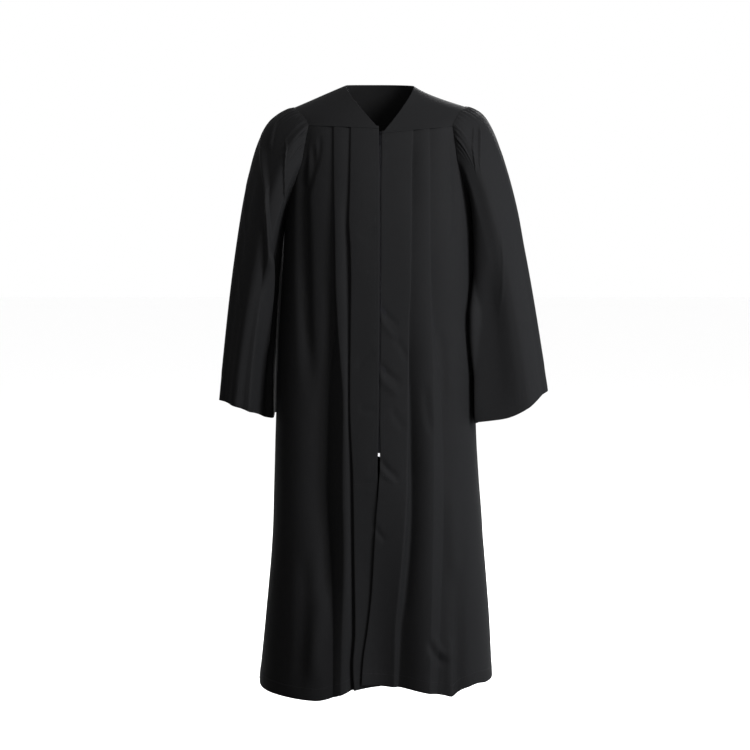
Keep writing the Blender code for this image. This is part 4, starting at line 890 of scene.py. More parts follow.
def yoke_shell(name, grid, inside):
    """A yoke's cloth, dressed; inside is a place within the gown."""
    normals = grid_normals(grid, inside)
    threads = np.stack([run_lengths(grid, 1), run_lengths(grid, 0), np.zeros(grid.shape[:2])], axis=-1)
    across, down = threads[:, :, 0] / MM, threads[:, :, 1] / MM
    rows = np.linspace(0, 1, grid.shape[0])[:, None]
    loose = 0.5 * np.sin(across / 23 + 1.2 * np.sin(down / 31)) * np.sin(down / 29 + across / 60)
    loose = loose * bump(rows - 0.5, 0.5) - 0.5 * ease((rows - 0.93) / 0.05)
    outer = grid + normals * (loose * MM)[:, :, None]
    made = dressed(cloth_shell(name + "_cloth", outer, outer + normals * CLOTH, threads), name)
    print(name, "area", round(area(outer), 4), "wide", round(across.max()), "tall", round(down.max()))


for side in (RIGHT, LEFT):
    outline = OUTLINES[side, FRONT]
    inner_edge = opening_edge(side, NECK_FOOT_DROP)[0]
    outer_edge = float(armhole_edge(outline, yoke_corner_drop(side, FRONT))) - SEAM_GAP
    along = inner_edge + (outer_edge - inner_edge) * YOKE_STEPS
    bottom = outline.place(along, 0.0, column(FRONT_SEAM[side], 1, along))
    top = shoulder_line(side, YOKE_STEPS) + (0, -SEAM_GAP, 0)
    first = neck_line(side, YOKE_ROWS) + (0, -SEAM_GAP, 0)
    last = yoke_armhole(side, FRONT, YOKE_ROWS, -SEAM_GAP)
    grid = patch(top, bottom, meeting(first, first[0], bottom[0]), meeting(last, top[-1], bottom[-1]))
    yoke_shell("yoke_front_" + NAMES[side], grid, (side * 0.1, 0.0, -0.15))

# %% [markdown]
# The back yoke is one piece from armhole to armhole. Its upper edge has two corners, where shoulder meets
# neck. They are softened for the inside of the patch, or a crease would run down the middle of each half.

# %% The back yoke
SOFTENINGS = 1600


def softened(line, times):
    """A line with each point drawn many times towards its neighbours."""
    line = line.copy()
    for _ in range(times):
        line[1:-1] = 0.5 * line[1:-1] + 0.25 * (line[:-2] + line[2:])
    return line


top, bottom = [], []
for side in (RIGHT, LEFT):
    shoulder = shoulder_line(side, np.linspace(1, 0, 60))
    edge = np.concatenate([shoulder, back_neck_line(side, np.linspace(0, 1, 44))[1:]]) + (0, SEAM_GAP, 0)
    outline = OUTLINES[side, BACK]
    reach = float(armhole_edge(outline, yoke_corner_drop(side, BACK))) - SEAM_GAP
    lengths = np.linalg.norm(np.diff(edge, axis=0), axis=1)
    share = np.concatenate([[0.0], np.cumsum(lengths)]) / lengths.sum()
    along = reach * (1 - share)
    top.append(edge)
    bottom.append(outline.place(along, 0.0, column(BACK_SEAM, 1, along)))
top = np.concatenate([top[0], top[1][::-1][1:]])
bottom = np.concatenate([bottom[0], bottom[1][::-1][1:]])
rows = np.linspace(0, 1, 56)
first = meeting(yoke_armhole(RIGHT, BACK, rows, -SEAM_GAP), top[0], bottom[0])
last = meeting(yoke_armhole(LEFT, BACK, rows, -SEAM_GAP), top[-1], bottom[-1])
soft = softened(top, SOFTENINGS)
grid = patch(soft, bottom, first, last) + (top - soft)[None] * ((1 - rows) ** 3)[:, None, None]
yoke_shell("yoke_back", grid, (0.0, 0.0, -0.15))

# %% [markdown]
# The bell sleeves. Each strand of a sleeve leaves the armhole in its own direction and hangs to its own
# place on the cuff, so a sleeve is a bundle of curves from one loop to the other. Fine gathers pinch the
# head between the yoke's corners. They are uneven: their spacing wanders, and some run far down the
# sleeve while others fade at once.

# %% Sleeves: where the cloth starts and ends
# around, out, forward, down, reach
SLEEVE_START = (
    (0.000, 0.94, 0.00, 0.34, 0.078),
    (0.080, 0.87, 0.30, 0.40, 0.082),
    (0.170, 0.74, 0.45, 0.50, 0.080),
    (0.250, 0.72, 0.36, 0.58, 0.055),
    (0.370, 0.66, 0.12, 0.74, 0.040),
    (0.450, 0.36, 0.03, 0.93, 0.034),
    (0.500, 0.20, 0.00, 0.98, 0.032),
    (0.550, 0.36, -0.03, 0.93, 0.034),
    (0.630, 0.66, -0.12, 0.74, 0.040),
    (0.750, 0.72, -0.32, 0.60, 0.055),
    (0.830, 0.74, -0.40, 0.52, 0.080),
    (0.920, 0.87, -0.28, 0.40, 0.082),
)
SLEEVE_FULLNESS = {RIGHT: 1.0, LEFT: 0.80}
# around, out from the axis, forward, drop, reach of the pull upwards, lean of that pull inwards
CUFF = {
    RIGHT: (
        (0.000, 0.3560, -0.010, 0.6880, 0.600, 0.106),
        (0.090, 0.3430, 0.060, 0.6870, 0.500, 0.100),
        (0.180, 0.3100, 0.104, 0.6960, 0.350, 0.085),
        (0.245, 0.2860, 0.108, 0.7055, 0.270, 0.060),
        (0.290, 0.2735, 0.075, 0.7120, 0.240, 0.040),
        (0.335, 0.2670, 0.030, 0.7210, 0.210, 0.022),
        (0.380, 0.2550, 0.006, 0.7280, 0.190, 0.012),
        (0.430, 0.2400, -0.002, 0.7310, 0.170, 0.010),
        (0.500, 0.2370, -0.022, 0.7305, 0.160, 0.010),
        (0.570, 0.2385, -0.060, 0.7280, 0.170, 0.010),
        (0.650, 0.2480, -0.110, 0.7220, 0.200, 0.020),
        (0.740, 0.2720, -0.160, 0.7140, 0.260, 0.060),
        (0.820, 0.3060, -0.165, 0.7060, 0.330, 0.090),
        (0.910, 0.3430, -0.105, 0.6930, 0.500, 0.100),
    ),
    LEFT: (
        (0.000, 0.3680, -0.008, 0.6625, 0.600, 0.170),
        (0.090, 0.3540, 0.062, 0.6700, 0.500, 0.145),
        (0.180, 0.3160, 0.098, 0.7005, 0.330, 0.120),
        (0.260, 0.2700, 0.100, 0.7215, 0.260, 0.070),
        (0.350, 0.2010, 0.088, 0.7325, 0.200, 0.020),
        (0.430, 0.2130, 0.036, 0.7365, 0.170, 0.010),
        (0.500, 0.2165, -0.010, 0.7370, 0.160, 0.010),
        (0.570, 0.2190, -0.055, 0.7360, 0.170, 0.010),
        (0.650, 0.2360, -0.108, 0.7320, 0.200, 0.020),
        (0.740, 0.2720, -0.152, 0.7210, 0.260, 0.070),
        (0.820, 0.3120, -0.155, 0.7060, 0.330, 0.120),
        (0.910, 0.3530, -0.100, 0.6790, 0.500, 0.145),
    ),
}


def armhole_loop(side):
    """The sleeve's sewn edge, all round the armhole from the shoulder by the front."""
    t = np.linspace(0, 1, 41)
    pieces = [yoke_armhole(side, FRONT, t, SEAM_GAP)]
    for facing in (FRONT, BACK):
        outline = OUTLINES[side, facing]
        top_drop = yoke_corner_drop(side, facing)
        drops = top_drop + (UNDERARM - 2 * SEAM_GAP - top_drop) * np.sin(t * math.pi / 2)
        along = np.minimum(armhole_edge(outline, drops) + SEAM_GAP, outline.seam(drops))
        run = outline.place(along, 1.0 * MM + 1.0 * MM * ease((drops - 0.25) / 0.08), drops)
        pieces.append(run[1:] if facing == FRONT else run[::-1][1:])
    pieces.append(yoke_armhole(side, BACK, t, SEAM_GAP)[::-1][1:-1])
    loop = np.concatenate(pieces)
    closed = np.concatenate([loop, loop[:1]])
    run = np.concatenate([[0.0], np.cumsum(np.linalg.norm(np.diff(closed, axis=0), axis=1))])
    return closed, run / run[-1]


LOOPS = {side: armhole_loop(side) for side in (RIGHT, LEFT)}


def sideways(table, side, turn):
    """The first three columns of a table that goes round a sleeve, as a place or a direction."""
    out, forward, down = (around(table, k, turn) for k in (1, 2, 3))
    return np.stack([side * out, -forward, -down], axis=-1)


def sleeve_plain(side, turn, down):
    """The sleeve's outer surface with no folds, at shares of the way around and down."""
    loop, shares = LOOPS[side]
    turn = np.mod(turn, 1.0)
    start = read_off(turn, shares, loop)
    reach = SLEEVE_FULLNESS[side] * around(SLEEVE_START, 4, turn)
    end = sideways(CUFF[side], side, turn)
    lean = around(CUFF[side], 5, turn)
    rise = np.stack([-side * lean, np.zeros_like(lean), np.sqrt(1 - lean**2)], axis=-1)
    first = start + sideways(SLEEVE_START, side, turn) * reach[..., None]
    second = end + rise * around(CUFF[side], 4, turn)[..., None]
    return bezier([start, first, second, end], down)


print("armhole round, mm:", round(float(np.linalg.norm(np.diff(LOOPS[LEFT][0], axis=0), axis=1).sum() / MM)))

# %% [markdown]
# The folds of a sleeve swing: near the head they follow the gathers, and lower down they fall straight.
# The deepest one lies beside the gown's body, and in the photograph it is nearly black. A fold is a soft
# trough whose place, width and depth are read down the sleeve, and a gather is a narrow wave that fades.

# %% Sleeves: folds and gathers
# one table for each fold: share of the length, around, half width around, depth in mm
SLEEVE_FOLDS = {
    RIGHT: (
        (
            (0.20, 0.000, 0.040, 0.0), (0.38, 0.045, 0.050, 4.0), (0.44, 0.100, 0.055, 7.0),
            (0.49, 0.190, 0.060, 11.0), (0.60, 0.285, 0.065, 16.0), (0.72, 0.320, 0.060, 14.0),
            (0.88, 0.330, 0.050, 6.0), (1.00, 0.330, 0.050, 3.0),
        ),
        (
            (0.55, 0.215, 0.045, 0.0), (0.75, 0.185, 0.045, 3.5), (1.00, 0.170, 0.045, 6.0),
        ),
        (
            (0.30, 0.000, 0.045, 0.0), (0.55, 0.040, 0.045, 2.5), (0.80, 0.064, 0.045, 5.0),
            (1.00, 0.070, 0.045, 5.0),
        ),
        (
            (0.10, 0.877, 0.055, 0.0), (0.35, 0.870, 0.055, 5.0), (0.60, 0.864, 0.055, 10.0),
            (1.00, 0.860, 0.055, 10.0),
        ),
        (
            (0.08, 0.756, 0.055, 0.0), (0.29, 0.745, 0.055, 8.0), (0.50, 0.739, 0.055, 16.0),
            (1.00, 0.730, 0.055, 16.0),
        ),
        (
            (0.15, 0.653, 0.045, 0.0), (0.37, 0.643, 0.045, 6.0), (0.60, 0.636, 0.045, 12.0),
            (1.00, 0.630, 0.045, 12.0),
        ),
    ),
    LEFT: (
        (
            (0.48, 0.355, 0.024, 0.0), (0.58, 0.345, 0.026, 8.0), (0.66, 0.336, 0.029, 15.0),
            (0.74, 0.345, 0.027, 10.0), (0.84, 0.355, 0.024, 0.0),
        ),
        (
            (0.10, 0.148, 0.050, 0.0), (0.50, 0.175, 0.050, 0.6), (1.00, 0.190, 0.050, 1.6),
        ),
        (
            (0.20, 0.056, 0.040, 0.0), (0.40, 0.062, 0.040, 2.5), (0.60, 0.066, 0.040, 5.0),
            (1.00, 0.070, 0.040, 5.0),
        ),
        (
            (0.10, 0.867, 0.055, 0.0), (0.35, 0.860, 0.055, 4.5), (0.60, 0.854, 0.055, 9.0),
            (1.00, 0.850, 0.055, 9.0),
        ),
        (
            (0.08, 0.766, 0.055, 0.0), (0.29, 0.755, 0.055, 7.5), (0.50, 0.749, 0.055, 15.0),
            (1.00, 0.740, 0.055, 15.0),
        ),
        (
            (0.15, 0.663, 0.045, 0.0), (0.37, 0.653, 0.045, 5.0), (0.60, 0.646, 0.045, 10.0),
            (1.00, 0.640, 0.045, 10.0),
        ),
    ),
}
GATHERS = 24
GATHERED = 0.225  # share of the way around that is gathered, before and behind the shoulder
GATHER_DEPTH = 2.4 * MM
# start around x 1000, start share down x 1000, end the same two, bow, half width, depth in mm
SLEEVE_CREASES = {
    RIGHT: (
        (118, 225, 300, 300, 8, 11, 5.0), (52, 215, 100, 360, 4, 9, 3.5), (20, 560, 120, 700, 8, 16, 1.2),
        (60, 740, 150, 820, -8, 16, 1.3), (800, 90, 760, 380, 8, 16, 2.5), (900, 300, 860, 620, 8, 20, 1.8),
    ),
    LEFT: (
        (92, 195, 188, 285, 4, 9, 4.0), (76, 235, 160, 345, 4, 10, 5.0), (150, 560, 250, 720, 8, 18, 1.0),
        (30, 420, 66, 760, 5, 14, 2.0), (276, 540, 290, 1040, 3, 80, -8.0), (795, 90, 765, 360, 8, 16, 2.5),
        (905, 320, 865, 640, 8, 20, 1.8),
    ),
}


def sleeve_inwards(side, turn, down):
    """How far folds, gathers and creases move the sleeve's surface in."""
    depth = np.zeros(np.broadcast(turn, down).shape)
    for fold in SLEEVE_FOLDS[side]:
        centre, width, deep = (column(fold, k, down) for k in (1, 2, 3))
        away = np.mod(turn - centre + 0.5, 1.0) - 0.5
        depth = depth + deep * MM * bump(away, width)
    from_shoulder = np.mod(turn + 0.5, 1.0) - 0.5
    place = from_shoulder / (2 * GATHERED) * GATHERS * 2 * math.pi
    wander = 0.9 * np.sin(0.37 * place + side) + 0.5 * np.sin(0.21 * place + 2.0)
    strength = 0.75 + 0.35 * np.sin(0.53 * place + 1.3 * side)
    length = 0.20 + 0.12 * np.sin(0.31 * place + 0.8) + 0.05 * np.sin(0.83 * place)
    gathered = ease((GATHERED - np.abs(from_shoulder)) / 0.03)
    fading = (0.25 + 0.75 * ease(down / 0.05)) * (1 - ease((down - 0.04) / length))
    waves = 0.5 - 0.5 * np.cos(place + wander * ease(down / 0.10))
    depth = depth + GATHER_DEPTH * strength * gathered * fading * waves
    folded = crease_depth(SLEEVE_CREASES[side], 1000 * np.mod(turn, 1.0), 1000 * down)
    soft = slow_waves(700 * turn, 650 * down, 2.0 + side) * ease(down / 0.2)
    return depth + (folded + soft) * MM


halfway = {NAMES[side]: round(float(sleeve_inwards(side, SHARES, 0.5).max() / MM), 1) for side in (RIGHT, LEFT)}
print("deepest fold half way down, mm:", halfway)

# %% [markdown]
# The sleeve itself: its plain surface, moved in along its own normal by the folds. Points lie close
# together where the head is gathered and further apart round the back. The cuff is turned up once, like
# the hem, so it stands proud and puckers along its stitches.

# %% Sleeves: the cloth
SLEEVE_LENGTH = 0.66
CUFF_HEM = 25 * MM
SMALL_STEP = 1e-3


def sleeve_surface(side, turn, down, inwards):
    """The sleeve's surface, moved in along its own normal."""
    over = sleeve_plain(side, turn + SMALL_STEP, down) - sleeve_plain(side, turn - SMALL_STEP, down)
    low, high = np.clip(down - SMALL_STEP, 0, 1), np.clip(down + SMALL_STEP, 0, 1)
    along = sleeve_plain(side, turn, high) - sleeve_plain(side, turn, low)
    normal = np.cross(over, along) * side
    normal /= np.linalg.norm(normal, axis=-1)[..., None]
    return sleeve_plain(side, turn, down) + normal * np.asarray(inwards)[..., None]


SLEEVE_TURNS = np.mod(np.concatenate([
    np.linspace(-GATHERED, GATHERED, 8 * GATHERS, endpoint=False),
    np.linspace(GATHERED, 1 - GATHERED, 84, endpoint=False),
]), 1.0)
SLEEVE_DOWNS = np.linspace(0, 1, 112) ** 1.12
sleeve_grids = {}
for side in (RIGHT, LEFT):
    turn, down = np.meshgrid(SLEEVE_TURNS, SLEEVE_DOWNS)
    inwards = sleeve_inwards(side, turn, down)
    from_cuff = (1 - down) * SLEEVE_LENGTH
    inwards = inwards - 0.5 * MM * ease((CUFF_HEM - from_cuff) / (3 * MM) + 0.5)
    inwards = inwards + 0.2 * MM * np.sin(turn * 430) * bump(from_cuff - CUFF_HEM, 9 * MM)
    outer = sleeve_surface(side, turn, down, inwards)
    inner = sleeve_surface(side, turn, down, inwards + CLOTH)
    wide = np.linalg.norm(np.diff(outer[-1], axis=0), axis=1).sum()
    order = np.mod(turn + GATHERED, 1.0)
    threads = np.stack([order * wide, run_lengths(outer, 0), np.zeros_like(turn)], axis=-1)
    sleeve_grids[side] = (outer, inner, threads)
    name = "sleeve_" + NAMES[side]
    made = dressed(cloth_shell(name + "_cloth", outer, inner, threads, ring=True), name)

# %% [markdown]
# The zip lies in the slit between the fronts: two woven tapes, two rows of small coil turns that
# interlock down the middle, a slider with its tab, and a bright box where the chain ends. Only a few
# millimetres show, but from close by they tell that the slit is a zip and not a crack. Metal and nylon get
# a faint, fine roughness, because a perfectly even gloss looks like plastic in a drawing.

# %% Zip sizes and finishes
ZIP_TOP, ZIP_FOOT = 0.1145, 0.797
BEHIND = CLOTH + 1.05 * MM
TAPE_WIDTH = 12 * MM
COIL_PITCH = 1.5 * MM
COIL_REACH = 2.6 * MM
TAPE_CLOTH = woven("zip_tape", (0.004, 0.004, 0.0045), 0.6 * MM, 0.80, 0.02, 0.7)


def plain_finish(name, colour, roughness, metallic, gloss, grain, scale):
    """A metal or moulded finish with faint scratches in its gloss."""
    material = bpy.data.materials.new(name)
    material.use_nodes = True
    tree = material.node_tree
    shader = tree.nodes["Principled BSDF"]
    shader.inputs["Base Color"].default_value = (*colour, 1.0)
    shader.inputs["Metallic"].default_value = metallic
    shader.inputs["Specular IOR Level"].default_value = gloss
    where = tree.nodes.new("ShaderNodeTexCoord")
    spots = tree.nodes.new("ShaderNodeTexNoise")
    spots.inputs["Scale"].default_value = scale
    spots.inputs["Detail"].default_value = 6.0
    spread = tree.nodes.new("ShaderNodeMapRange")
    spread.inputs["To Min"].default_value = roughness - grain
    spread.inputs["To Max"].default_value = roughness + grain
    lift = tree.nodes.new("ShaderNodeBump")
    lift.inputs["Strength"].default_value = 0.15
    lift.inputs["Distance"].default_value = 0.05 * MM
    tree.links.new(where.outputs["Object"], spots.inputs["Vector"])
    tree.links.new(spots.outputs["Fac"], spread.inputs["Value"])
    tree.links.new(spread.outputs["Result"], shader.inputs["Roughness"])
    tree.links.new(spots.outputs["Fac"], lift.inputs["Height"])
    tree.links.new(lift.outputs["Normal"], shader.inputs["Normal"])
    return material


COIL_NYLON = plain_finish("coil_nylon", (0.004, 0.004, 0.005), 0.45, 0.0, 0.12, 0.08, 900.0)
BRIGHT_METAL = plain_finish("bright_metal", (0.86, 0.86, 0.88), 0.24, 1.0, 0.5, 0.08, 1200.0)
DARK_METAL = plain_finish("dark_metal", (0.002, 0.002, 0.0024), 0.60, 0.0, 0.015, 0.10, 1500.0)
print("coil turns on each side:", int((ZIP_FOOT - ZIP_TOP) / COIL_PITCH))

# %% [markdown]
# Each tape is a narrow woven band just behind the fronts' edges. It follows the opening line down the zip,
# at a steady distance behind the cloth, so it can't cut through the cloth in front of it.

# %% Zip tapes
TAPE_STARTS = 0.35 * COIL_REACH
TAPE_THICK = 0.5 * MM


def zip_place(along, out, drop):
    """A point of the zip, at a distance from the opening line and out from the fronts' face."""
    line = column(OPENING, 1, drop) * MM
    return OUTLINES[LEFT, FRONT].place(line + along, out, drop)


for side in (RIGHT, LEFT):
    along = side * (TAPE_STARTS + TAPE_WIDTH * np.linspace(0, 1, 10))
    level, across = np.meshgrid(np.linspace(ZIP_TOP, ZIP_FOOT, 120), along, indexing="ij")
    outer, inner = (zip_place(across, -BEHIND - thick, level) for thick in (0.0, TAPE_THICK))
    threads = np.stack([across, level, np.zeros_like(level)], axis=-1)
    name = "zip_tape_" + NAMES[side]
    made = dressed(cloth_shell(name + "_cloth", outer, inner, threads), name, TAPE_CLOTH)
    print(name, "area", round(area(outer), 5))

# %% [markdown]
# A coil zip has no separate teeth: a nylon thread is wound into flat turns along each tape's edge, and the
# turns of one side fit between those of the other. So each turn here is a bent loop of round thread, and
# the left row is set half a turn lower than the right one.

# %% Zip coil
COIL_ROUNDS = np.linspace(0, 1, 13)
COIL_RADIUS = 0.26 * MM
FOUR_SIDES = np.linspace(0, 2 * math.pi, 5)[:-1]


def tube_faces(start, rings):
    """Faces of a closed four-sided tube whose first ring of points begins at this number."""
    faces = []
    last = start + 4 * (rings - 1)
    for low in range(start, last, 4):
        faces += [(low + j, low + (j + 1) % 4, low + 4 + (j + 1) % 4, low + 4 + j) for j in range(4)]
    return faces + [(start + 3, start + 2, start + 1, start), (last, last + 1, last + 2, last + 3)]


def coil_turns(side):
    """Points and faces of one row of coil turns: each a flat, bent loop of round nylon."""
    count = int((ZIP_FOOT - 9 * MM - ZIP_TOP) / COIL_PITCH)
    drops = ZIP_TOP + 2 * MM + COIL_PITCH * (np.arange(count) + (0.5 if side == LEFT else 0.0))
    swing = 2 * math.pi * COIL_ROUNDS
    along = side * (COIL_REACH * (0.5 - 0.62 * np.cos(swing)))
    out = 0.55 * MM * np.sin(swing)
    points, faces = [], []
    for number, drop in enumerate(drops):
        level = drop + COIL_PITCH * 0.5 * COIL_ROUNDS
        line = zip_place(along, -BEHIND + 0.45 * MM + out, level)
        ahead = np.gradient(line, axis=0)
        ahead /= np.linalg.norm(ahead, axis=1)[:, None]
        first = np.cross(ahead, (0.0, 0.0, 1.0))
        first /= np.linalg.norm(first, axis=1)[:, None]
        second = np.cross(ahead, first)
        ring = [line + COIL_RADIUS * (first * math.cos(a) + second * math.sin(a)) for a in FOUR_SIDES]
        points.append(np.stack(ring, axis=1).reshape(-1, 3))
        faces += tube_faces(number * len(COIL_ROUNDS) * 4, len(COIL_ROUNDS))
    return np.concatenate(points), faces


for side in (RIGHT, LEFT):
    made = piece("zip_coil_" + NAMES[side], *coil_turns(side))
    dressed(made, "zip_chain", COIL_NYLON)
    print(made.name, len(made.data.polygons), "faces")

# %% [markdown]
# Slider, tab and bottom box keep the frame's solids, which already have their true shape. A bevel
# rounds their edges, because cast metal has no sharp ones, and the frame's own mesh stays as it is.

# %% Slider, pull tab and bottom box
for node_name, finish, width in (("zip_slider", DARK_METAL, 0.25), ("zip_pull_tab", DARK_METAL, 0.22),
                                 ("zip_stop", BRIGHT_METAL, 0.7)):
    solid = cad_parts[node_name]
    solid.data.materials.clear()
    solid.data.materials.append(finish)
    rounded = solid.modifiers.new("Rounded edges", "BEVEL")
    rounded.width = width * MM
    rounded.segments = 3
    rounded.limit_method = "ANGLE"
    rounded.angle_limit = math.radians(35)

# %% [markdown]
# Stitches. A straight lockstitch shows as short raised strokes with a dip between them. Each line of
# stitching is a list of places on the cloth's outer face, and each stroke is a tiny spindle laid on it.
# The thread is polyester too, slightly glossier than the cloth.

# %% A line of stitches
STITCH = 2.6 * MM
THREAD = 0.20 * MM
THREAD_NYLON = plain_finish("thread", (0.006, 0.006, 0.0065), 0.45, 0.0, 0.08, 0.06, 1500.0)


# along the stroke, thickness; both as shares of its length and of the thread
SPINDLE = ((-0.40, 0.35), (-0.25, 0.9), (0.0, 1.0), (0.25, 0.9), (0.40, 0.35))


def stitches(name, lines):
    """Strokes of thread along lines of points, each line with the outward direction at its points."""
    points, faces = [], []
    for line, outwards in lines:
        run = np.concatenate([[0.0], np.cumsum(np.linalg.norm(np.diff(line, axis=0), axis=1))])
        for centre in np.arange(STITCH, run[-1] - STITCH / 2, STITCH):
            here, ahead = read_off([centre, centre + 1e-4], run, line)
            ahead = (ahead - here) / np.linalg.norm(ahead - here)
            up = read_off(centre, run, outwards)
            up = up - ahead * (up @ ahead)
            up /= np.linalg.norm(up)
            over = np.cross(ahead, up)
            faces += tube_faces(len(points), len(SPINDLE))
            for along, thick in SPINDLE:
                middle = here + ahead * along * STITCH + up * THREAD * (0.2 + 0.8 * thick - 0.6)
                for a in FOUR_SIDES + math.pi / 4:
                    points.append(middle + THREAD * thick * (over * math.cos(a) + up * math.sin(a)))
    made = dressed(piece(name, np.array(points), faces), None, THREAD_NYLON)
    print(name, len(made.data.polygons), "faces")


def outward(outer, inner):
    """The direction out of the cloth at each point of its outer face."""
    away = outer - inner
    return away / np.linalg.norm(away, axis=-1)[..., None]


print("stitches in ten centimetres:", round(100 * MM / STITCH))

# %% [markdown]
# The hem and the cuffs are held by a line of stitches just inside the turned-up edge. It keeps an even
# distance from that edge, so it dips and rises with it over every flute. On the fronts a line runs down
# beside the opening, to hold the facing and the zip tape, and bars cross the band where the zip ends.

# %% Stitches of hem, cuffs and opening
INSIDE_EDGE = 2 * MM  # from the top of a turned-up edge down to its stitches


def level_line(grids, height):
    """The line on a panel's outer face this far above its lower edge."""
    outer, inner, _ = grids
    up = run_lengths(outer[::-1], 0)
    flipped, directions = outer[::-1], outward(outer, inner)[::-1]
    columns = range(outer.shape[1])
    line = [read_off(height, up[:, c], flipped[:, c]) for c in columns]
    return np.array(line), np.array([read_off(height, up[:, c], directions[:, c]) for c in columns])


def placket_line(side, inset, first_drop, last_drop):
    """The line on a front's outer face this far from its edge."""
    outer, inner, threads = front_grids[side]
    directions = outward(outer, inner)
    rows = [r for r in range(outer.shape[0]) if first_drop < -outer[r, 0, 2] < last_drop]
    line = [read_off(inset, threads[r, :, 0], outer[r]) for r in rows]
    return np.array(line), np.array([read_off(inset, threads[r, :, 0], directions[r]) for r in rows])


def bar_line(side, drop, first_inset, last_inset):
    """A level line of stitching across a front's band."""
    outer, inner, threads = front_grids[side]
    row = int(np.argmin(np.abs(-outer[:, 0, 2] - drop)))
    insets = np.linspace(first_inset, last_inset, 12)
    return tuple(read_off(insets, threads[row, :, 0], grid[row]) for grid in (outer, outward(outer, inner)))


panels = (front_grids[RIGHT], front_grids[LEFT], joined)
stitches("hem_stitches", [level_line(grids, HEM_DEPTH - INSIDE_EDGE) for grids in panels])
stitches("cuff_stitches", [level_line(sleeve_grids[side], CUFF_HEM - INSIDE_EDGE) for side in (RIGHT, LEFT)])
placket = [placket_line(side, 9 * MM, 0.103, 0.85) for side in (RIGHT, LEFT)]
placket += [bar_line(side, 0.853, 3 * MM, 60 * MM) for side in (RIGHT, LEFT)]
placket.append(bar_line(RIGHT, 0.402, 2 * MM, 30 * MM))
stitches("placket_stitches", placket)

# %% [markdown]
# The room: a white floor far enough below the hem to show no hard shadow, and white air all round, so the
# black gown stands out by its outline alone.

# %% Floor and air
FLOOR_LEVEL = -1.70
FLOOR_REACH = 30.0


def dull_finish(name, tone):
    """A matt, even finish for what stands round the gown."""
    material = bpy.data.materials.new(name)
    material.use_nodes = True
    shader = material.node_tree.nodes["Principled BSDF"]
    shader.inputs["Base Color"].default_value = (tone, tone, tone, 1.0)
    shader.inputs["Roughness"].default_value = 0.9
    return material


def studio_sheet(name, corners, finish):
    """A flat sheet that belongs to the room and not to the gown."""
    mesh = bpy.data.meshes.new(name)
    mesh.from_pydata(corners, [], [(0, 1, 2, 3)])
    mesh.materials.append(finish)
    made = bpy.data.objects.new(name, mesh)
    bpy.context.scene.collection.objects.link(made)
    return made


quarters = ((-1, -1), (1, -1), (1, 1), (-1, 1))
floor_corners = [(x * FLOOR_REACH, y * FLOOR_REACH, FLOOR_LEVEL) for x, y in quarters]
studio_sheet("studio_floor", floor_corners, dull_finish("pale_floor", 0.98))
air = bpy.data.worlds.new("white_air")
air.use_nodes = True
air.node_tree.nodes["Background"].inputs["Color"].default_value = (1.0, 1.0, 1.0, 1.0)
air.node_tree.nodes["Background"].inputs["Strength"].default_value = 1.0
bpy.context.scene.world = air
bpy.context.scene.view_settings.view_transform = "Standard"

# %% [markdown]
# The light: a large soft lamp on the viewer's right, a weaker one in front and one behind. Two small lamps
# from the right give the sleeve and the hip their pale, slightly blue edge. In the photograph the gown
# grows darker to the lower left, so black cloths on the left and on the floor take light away there. The
# camera doesn't see them, and the one on the floor throws no shadow. Black cloth returns very little
# light, so the lamps are strong.

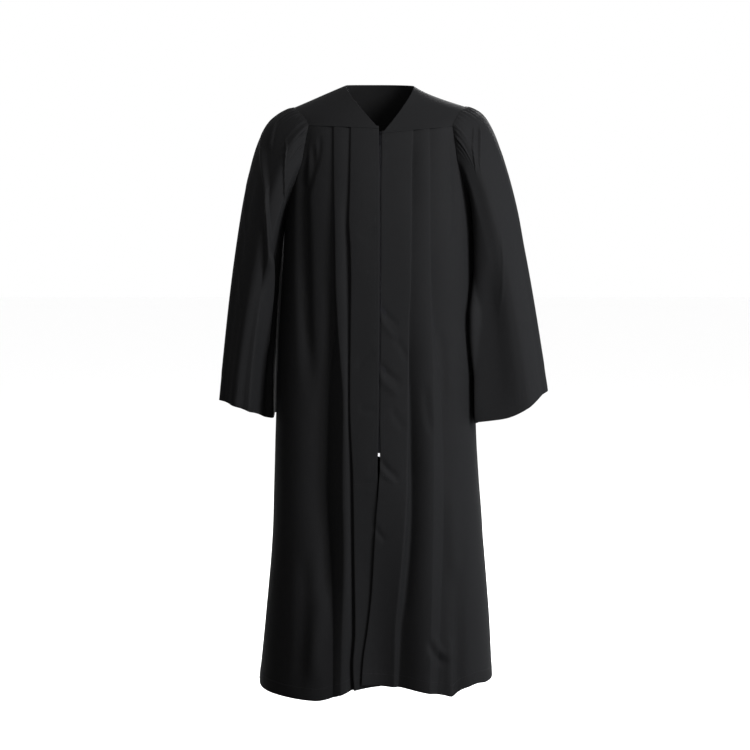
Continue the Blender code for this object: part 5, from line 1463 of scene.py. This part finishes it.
# %% Lamps and black cloths
# name, place, aim, size, power, colour
LAMPS = (
    ("key_light", (1.9, -1.9, 0.85), (0.0, 0.0, -0.55), 1.2, 226.0, (1.0, 1.0, 1.0)),
    ("front_light", (-0.2, -3.6, 2.4), (0.0, 0.0, -0.3), 1.4, 44.0, (1.0, 0.97, 0.93)),
    ("edge_light", (3.4, 0.4, -0.2), (0.1, 0.0, -0.7), 1.4, 28.0, (0.76, 0.86, 1.0)),
    ("hip_light", (1.9, -1.35, -0.38), (0.25, 0.0, -0.62), 0.5, 64.0, (0.90, 0.94, 1.0)),
    ("back_light", (1.2, 4.2, 1.6), (0.0, 0.0, -0.6), 1.6, 220.0, (1.0, 1.0, 1.0)),
)
# name, corners, whether it throws a shadow
BLACK_CLOTHS = (
    ("side_screen", [(-1.5, -2.6, -1.69), (-1.5, 1.4, -1.69), (-1.5, 1.4, -0.4), (-1.5, -2.6, -0.4)], True),
    ("floor_cloth", [(-1.4, -1.8, -1.69), (0.9, -1.8, -1.69), (0.9, 0.1, -1.69), (-1.4, 0.1, -1.69)], False),
)


def soft_light(name, place, aim, size, power, colour):
    """A round area lamp at a place, turned towards its aim."""
    lamp = bpy.data.lights.new(name, "AREA")
    lamp.color = colour
    lamp.shape = "DISK"
    lamp.size = size
    lamp.energy = power
    holder = bpy.data.objects.new(name, lamp)
    holder.location = place
    direction = np.asarray(aim, float) - np.asarray(place, float)
    yaw = math.atan2(direction[1], direction[0]) - math.pi / 2
    pitch = math.atan2(direction[2], math.hypot(direction[0], direction[1]))
    holder.rotation_euler = (pitch + math.pi / 2, 0.0, yaw)
    bpy.context.scene.collection.objects.link(holder)


for lamp_row in LAMPS:
    soft_light(*lamp_row)
matt_black = dull_finish("matt_black", 0.01)
for name, corners, throws_shadow in BLACK_CLOTHS:
    cloth = studio_sheet(name, corners, matt_black)
    cloth.visible_camera = False
    cloth.visible_shadow = throws_shadow
print("lamps:", [row[0] for row in LAMPS])

# %% [markdown]
# The camera stands four metres off at chest height and looks slightly down, as the photograph does: the
# hem's front hangs lower in the picture than its middle, and nothing of the inside shows at the cuffs.

# %% Camera
PIXELS, FOCAL_PIXELS, SENSOR = 750, 1818.0, 36.0
LOOKS_DOWN = 4.8  # degrees
camera = bpy.data.objects.new("camera", bpy.data.cameras.new("camera"))
camera.data.sensor_width = SENSOR
camera.data.lens = FOCAL_PIXELS / PIXELS * SENSOR
camera.location = (-0.0132, -4.0, -0.30)
camera.rotation_euler = (math.radians(90 - LOOKS_DOWN), 0.0, 0.0)
bpy.context.scene.collection.objects.link(camera)
bpy.context.scene.camera = camera
print("lens, mm:", round(camera.data.lens, 1))
